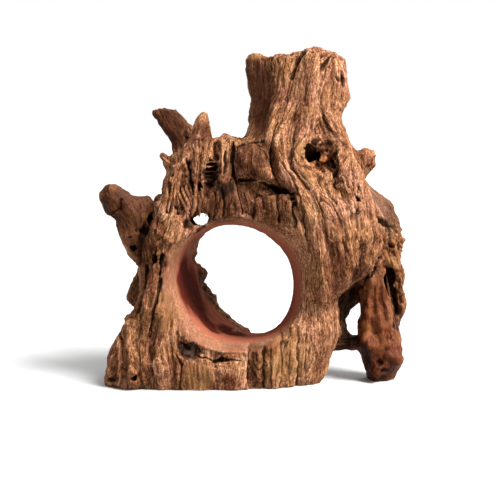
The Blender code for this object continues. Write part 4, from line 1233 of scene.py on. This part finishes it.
def closedPiece(name, points, quads, normals, marks):
    used, small = np.unique(quads, return_inverse=True)
    mesh = meshFrom(name, points[used], small.reshape(-1, 4))
    markMesh(mesh, marks, used)
    bm = bmesh.new()
    bm.from_mesh(mesh)
    bm.verts.ensure_lookup_table()
    shell = len(bm.faces) * 4
    ends = closeRims(bm)
    opened = sum(1 for e in bm.edges if not e.is_manifold)
    bm.to_mesh(mesh)
    bm.free()
    smoothed(mesh)
    # the shell keeps the whole skin's normals, so its borders don't show, and the cut ends get their own
    corner = readArray(mesh.loops, "vertex_index", 1, np.int32)
    extra = len(mesh.vertices) - len(used)
    lookUp = np.concatenate([normals[used], np.zeros((extra, 3))])
    custom = np.zeros((len(corner), 3), dtype=np.float32)
    custom[:shell] = lookUp[corner[:shell]]
    mesh.normals_split_custom_set(custom)
    mesh.calc_loop_triangles()
    print(f"{name}: {len(mesh.loop_triangles)} triangles, {ends} cut ends, {opened} open edges")
    return placed(name, mesh)


def makeWood(solids, owners):
    skin = fusedSkin(gatheredSolids())
    points = readArray(skin.vertices, "co", 3).astype(np.float64) * 1000.0 + drawingZero
    quads = readArray(skin.loops, "vertex_index", 1, np.int32).reshape(-1, 4)
    edges = readArray(skin.edges, "vertices", 2, np.int32)
    counts = np.bincount(edges.ravel(), minlength=len(points)).astype(np.float64)
    print("skin:", len(points), "points,", len(quads), "faces")

    steps = evened(points, edges, counts, skinLook["evenRounds"]) - points
    points = points + limited(steps, skinLook["evenReach"])

    shares = pieceOfEachPoint(points, edges, counts, solids, owners)
    print("points shared out between the pieces")
    points, marks = carvedWood(points, quads, edges, counts)
    normals = pointNormals(points, quads)
    marks.update(tintAndShadeMarks(points))
    darkOnes = [i for i, (_, finish) in enumerate(woodPieces.values()) if finish == "dark_wood"]
    marks["dark"] = evened(shares[:, darkOnes].sum(axis=1), edges, counts, skinLook["fadeRounds"])
    print("wood carved")

    faceLabels = sum(shares[quads[:, i]] for i in range(4)).argmax(axis=1)
    metres = (points - drawingZero) * 0.001
    finishes = {slot: woodFinish(*look) for slot, look in woodFinishes.items()}
    for index, (name, (solid, finish)) in enumerate(woodPieces.items()):
        piece = closedPiece(name, metres, quads[faceLabels == index], normals, marks)
        piece.data.materials.append(finishes[finish])
        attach(piece, "root")
        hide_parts(solid)
    return finishes


# The torn fringe under the spurs: slivers that hang down and end in points, and the fibres left across the
# rotten hollow beside it. Thickness, then x and z from the thick end, and mm in front of the skin
fringeSlivers = [
    (5.0, [(-53, 200, -1.2), (-52, 190, 0.5), (-53, 180, 1.5), (-56, 168, 1.5)]),
    (4.4, [(-49, 192, -1.2), (-48, 182, 1.0), (-49, 168, 1.5)]),
    (4.0, [(-44, 200, -1.2), (-43, 190, 0.5), (-44, 181, 1.0), (-45, 174, 1.2)]),
    (3.0, [(-46, 196, -0.5), (-46, 186, 1.0), (-47, 176, 1.6)]),
    (4.2, [(-72, 197, -0.8), (-68, 188, 1.5), (-63, 179, 2.0), (-58, 171, 2.5)]),
    (3.8, [(-68, 199, -0.8), (-64, 190, 1.5), (-60, 181, 2.0), (-56, 169, 2.5)]),
    (3.4, [(-64, 201, -0.8), (-61, 193, 1.0), (-58, 184, 2.0), (-54, 175, 2.5)]),
    (2.6, [(-62, 205, -0.5), (-58, 196, 1.0), (-56, 187, 1.5)]),
    (2.8, [(-75, 204, -0.5), (-75, 194, 1.0), (-77, 184, 2.0), (-78, 173, 2.0)]),
    (2.2, [(-72, 201, -0.5), (-72, 191, 1.5), (-73, 180, 2.0)]),
    (2.4, [(-80, 201, -0.5), (-81, 188, 1.5), (-84, 175, 2.0)]),
    (2.0, [(-69, 206, 0.0), (-71, 196, 1.5), (-70, 184, 2.0), (-67, 175, 2.0)]),
    (2.0, [(-42, 187, 0.0), (-41, 178, 1.0), (-42, 168, 1.5)]),
    (2.4, [(-61, 184, 1.0), (-60, 175, 1.5), (-60, 165, 1.0)]),
    (3.0, [(-78, 217, -0.5), (-82, 221, 0.0), (-87, 225, 0.0)]),
    (1.6, [(-33, 221, -2.0), (-37, 221, -2.0), (-43, 220, -1.5)]),
    (1.6, [(-44, 216, -1.5), (-39, 216, -2.0), (-34, 216, -2.0)]),
    (1.7, [(-44, 212, -1.5), (-39, 211, -2.0), (-33, 211, -2.0)]),
    (1.6, [(-33, 207, -2.0), (-38, 207, -2.0), (-44, 208, -1.5)]),
    (1.5, [(-45, 204, -1.5), (-41, 204, -2.0), (-36, 203, -2.0)]),
]
fringeLook = {
    "raggedness": 0.9,
    "step": 1.3,                # mm between the rings of a sliver
    "sides": 9,
    "seed": 11,
    "bend": (90.0, 0.0042),     # bends to a metre, and metres to the side
    "rough": (420.0, 0.0022),   # the same for its bark
    # full near the top, drawn out to a point below
    "profile": ((0.0, 0.55), (1.0, 0.10), (0.25, 0.95), (0.62, 1.0), (0.88, 0.62)),
    "smoothness": 10,
    "viewer": -0.3,             # y in metres from which the skin's front is looked for
    "frontEnd": -0.02,          # and where it ends
    # mm a step along the grain, steps, and each pattern's size in mm and its block
    "grain": (1.5, 8, [(1.2, 9), (3.0, 4)]),
    "streaks": (0.2, 0.15), "worn": 0.62, "wear": 0.15, "stain": 0.5,
}


def sliverTree(material):
    tree = bpy.data.node_groups.new("tornSlivers", "GeometryNodeTree")
    face = tree.interface
    face.new_socket("Curves", in_out="INPUT", socket_type="NodeSocketGeometry")
    for label, kind in (("Step", "Float"), ("Raggedness", "Float"), ("Sides", "Int"), ("Seed", "Float")):
        face.new_socket(label, in_out="INPUT", socket_type="NodeSocket" + kind)
    face.new_socket("Slivers", in_out="OUTPUT", socket_type="NodeSocketGeometry")
    nodes, links = tree.nodes, tree.links
    given = nodes.new("NodeGroupInput")
    result = nodes.new("NodeGroupOutput")

    even = nodes.new("GeometryNodeResampleCurve")
    even.mode = "LENGTH"
    links.new(given.outputs["Curves"], even.inputs["Curve"])
    links.new(given.outputs["Step"], even.inputs["Length"])

    def jitter(scale, amount):
        noise = nodes.new("ShaderNodeTexNoise")
        noise.noise_dimensions = "4D"
        noise.inputs["Scale"].default_value = scale
        noise.inputs["Detail"].default_value = 2.0
        links.new(given.outputs["Seed"], noise.inputs["W"])
        middle = nodes.new("ShaderNodeVectorMath")
        middle.operation = "SUBTRACT"
        middle.inputs[1].default_value = (0.5, 0.5, 0.5)
        links.new(noise.outputs["Color"], middle.inputs[0])
        size = nodes.new("ShaderNodeVectorMath")
        size.operation = "SCALE"
        links.new(middle.outputs[0], size.inputs[0])
        share = nodes.new("ShaderNodeMath")
        share.operation = "MULTIPLY"
        share.inputs[1].default_value = amount
        links.new(given.outputs["Raggedness"], share.inputs[0])
        links.new(share.outputs[0], size.inputs["Scale"])
        return size.outputs[0]

    bent = nodes.new("GeometryNodeSetPosition")
    links.new(even.outputs["Curve"], bent.inputs["Geometry"])
    links.new(jitter(*fringeLook["bend"]), bent.inputs["Offset"])

    along = nodes.new("GeometryNodeSplineParameter")
    shape = nodes.new("ShaderNodeFloatCurve")
    line = shape.mapping.curves[0]
    for i, place in enumerate(fringeLook["profile"]):
        if i < 2:
            line.points[i].location = place
        else:
            line.points.new(*place)
    shape.mapping.update()
    links.new(along.outputs["Factor"], shape.inputs["Value"])

    ring = nodes.new("GeometryNodeCurvePrimitiveCircle")
    ring.inputs["Radius"].default_value = 1.0
    links.new(given.outputs["Sides"], ring.inputs["Resolution"])
    own = nodes.new("GeometryNodeInputRadius")
    full = nodes.new("ShaderNodeMath")
    full.operation = "MULTIPLY"
    links.new(own.outputs[0], full.inputs[0])
    links.new(shape.outputs[0], full.inputs[1])
    swept = nodes.new("GeometryNodeCurveToMesh")
    swept.inputs["Fill Caps"].default_value = True
    links.new(bent.outputs["Geometry"], swept.inputs["Curve"])
    links.new(ring.outputs["Curve"], swept.inputs["Profile Curve"])
    links.new(full.outputs[0], swept.inputs["Scale"])
    rough = nodes.new("GeometryNodeSetPosition")
    links.new(swept.outputs["Mesh"], rough.inputs["Geometry"])
    links.new(jitter(*fringeLook["rough"]), rough.inputs["Offset"])
    whole = nodes.new("GeometryNodeRealizeInstances")
    links.new(rough.outputs["Geometry"], whole.inputs["Geometry"])
    painted = nodes.new("GeometryNodeSetMaterial")
    painted.inputs["Material"].default_value = material
    links.new(whole.outputs["Geometry"], painted.inputs["Geometry"])
    links.new(painted.outputs["Geometry"], result.inputs["Slivers"])
    return tree


def fringeCurves(solids):
    curves = bpy.data.curves.new("fringeLines", "CURVE")
    curves.dimensions = "3D"
    towardsBack = Vector((0.0, 1.0, 0.0))
    for thickness, line in fringeSlivers:
        spline = curves.splines.new("BEZIER")
        spline.bezier_points.add(len(line) - 1)
        spline.resolution_u = fringeLook["smoothness"]
        skinDepth = 0.0
        for point, (x, z, proud) in zip(spline.bezier_points, line):
            start = Vector(((x - drawingZero[0]) * 0.001, fringeLook["viewer"], z * 0.001))
            met = solids.ray_cast(start, towardsBack)[0]
            # over the window a sliver hangs on where it was
            if met is not None and met.y < fringeLook["frontEnd"]:
                skinDepth = met.y
            point.co = (start.x, skinDepth - proud * 0.001, start.z)
            point.handle_left_type = point.handle_right_type = "AUTO"
            point.radius = thickness * 0.0005
    return curves


def makeFringe(material, solids):
    holder = placed("fringeLines", fringeCurves(solids))
    grown = holder.modifiers.new("Slivers", "NODES")
    grown.node_group = sliverTree(material)
    inputs = [item for item in grown.node_group.interface.items_tree if item.in_out == "INPUT"]
    sockets = {item.name: item.identifier for item in inputs}
    grown[sockets["Step"]] = fringeLook["step"] * 0.001
    grown[sockets["Raggedness"]] = fringeLook["raggedness"]
    grown[sockets["Sides"]] = fringeLook["sides"]
    grown[sockets["Seed"]] = float(fringeLook["seed"])
    graph = bpy.context.evaluated_depsgraph_get()
    mesh = bpy.data.meshes.new_from_object(holder.evaluated_get(graph))
    bpy.data.objects.remove(holder)
    mesh.name = "tornFringe"
    bm = bmesh.new()
    bm.from_mesh(mesh)
    bmesh.ops.recalc_face_normals(bm, faces=bm.faces[:])
    bm.to_mesh(mesh)
    bm.free()

    points = (readArray(mesh.vertices, "co", 3) * 1000.0 + drawingZero).astype(np.float32)
    streak, wide = drawnOut(points, *fringeLook["grain"])
    fineShare, wideShare = fringeLook["streaks"]
    marks = {
        "lean": grainLean(points),
        "streak": np.clip(0.5 + fineShare * streak + wideShare * wide, 0.0, 1.0),
        "worn": np.clip(fringeLook["worn"] + fringeLook["wear"] * wide, 0.0, 1.0),
        "stain": np.full(len(points), fringeLook["stain"]),
    }
    marks.update(tintAndShadeMarks(points))
    markMesh(mesh, marks)
    smoothed(mesh)
    piece = placed("tornFringe", mesh)
    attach(piece, "root")
    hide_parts("crown")
    print("fringe:", len(mesh.polygons), "faces, material", [m.name for m in mesh.materials])


# Floor, lights and camera
studio = {
    "sky": 1.0,             # what the camera sees behind the wood
    "skyLight": 0.13,       # how much of it falls on the wood
    "floorPale": 0.47,
    "floorRough": 0.9,
    "floorGloss": 0.1,
    "floorSize": 60.0,
    # strength, softness in degrees, turn from the front and height
    "key": (7.4, 24.0, 54.0, 50.0),
    "top": (2.2, 80.0, 10.0, 80.0),
    "rear": (1.1, 40.0, 150.0, 42.0),
    "panelPower": 8.0,      # a panel close by on the right
    "panelSize": 0.45,
    "panelPlace": (0.75, -0.42, 0.62),
    "panelTarget": (0.0, 0.0, 0.15),
}
lens = {
    "length": 85.0,
    "chip": 36.0,
    "distance": 1.181,
    "height": 6.0,          # degrees above the floor
    "target": (-0.00437, -0.01402, 0.132),
}


def softLight(name, strength, softness, turn, height):
    light = bpy.data.lights.new(name, "SUN")
    light.energy = strength
    light.angle = math.radians(softness)
    lamp = placed(name, light)
    turn, height = math.radians(turn), math.radians(height)
    level = math.cos(height)
    towards = Vector((math.sin(turn) * level, -math.cos(turn) * level, math.sin(height)))
    lamp.location = towards * 2.0
    lamp.rotation_euler = (-towards).to_track_quat("-Z", "Y").to_euler()


def makeStudio():
    half = studio["floorSize"] / 2
    mesh = bpy.data.meshes.new("studioFloor")
    corners = [(-half, -half, 0), (half, -half, 0), (half, half, 0), (-half, half, 0)]
    mesh.from_pydata(corners, [], [(0, 1, 2, 3)])
    floor = placed("studioFloor", mesh)
    paint = bpy.data.materials.new("floorWhite")
    paint.use_nodes = True
    shader = paint.node_tree.nodes["Principled BSDF"]
    white = studio["floorPale"]
    shader.inputs["Base Color"].default_value = (white, white, white, 1.0)
    shader.inputs["Roughness"].default_value = studio["floorRough"]
    shader.inputs["Specular IOR Level"].default_value = studio["floorGloss"]
    mesh.materials.append(paint)

    world = bpy.data.worlds.new("studioLight")
    world.use_nodes = True
    nodes, links = world.node_tree.nodes, world.node_tree.links
    # the backdrop is seen white, and lights the wood less than that
    seen = nodes.new("ShaderNodeLightPath")
    level = nodes.new("ShaderNodeMapRange")
    level.inputs["To Min"].default_value = studio["skyLight"]
    level.inputs["To Max"].default_value = studio["sky"]
    links.new(seen.outputs["Is Camera Ray"], level.inputs["Value"])
    nodes["Background"].inputs["Color"].default_value = (1.0, 1.0, 1.0, 1.0)
    links.new(level.outputs["Result"], nodes["Background"].inputs["Strength"])
    bpy.context.scene.world = world
    for name in ("key", "top", "rear"):
        softLight(name + "Light", *studio[name])
    panel = bpy.data.lights.new("panelLight", "AREA")
    panel.shape = "DISK"
    panel.size = studio["panelSize"]
    panel.energy = studio["panelPower"]
    lamp = placed("panelLight", panel)
    lamp.location = studio["panelPlace"]
    towards = Vector(studio["panelTarget"]) - lamp.location
    lamp.rotation_euler = towards.to_track_quat("-Z", "Y").to_euler()
    bpy.context.scene.view_settings.view_transform = "Standard"


def makeCamera():
    camera = bpy.data.cameras.new("camera")
    camera.lens = lens["length"]
    camera.sensor_width = lens["chip"]
    eye = placed("camera", camera)
    rise = math.radians(lens["height"])
    back = Vector((0.0, -math.cos(rise), math.sin(rise)))
    eye.location = Vector(lens["target"]) + back * lens["distance"]
    eye.rotation_euler = (-back).to_track_quat("-Z", "Y").to_euler()
    bpy.context.scene.camera = eye


makeStudio()
makeCamera()
print("studio and camera ready")
solids, owners = solidTree()
finishes = makeWood(solids, owners)
print("wood ready")
makeFringe(finishes["weathered_wood"], solids)
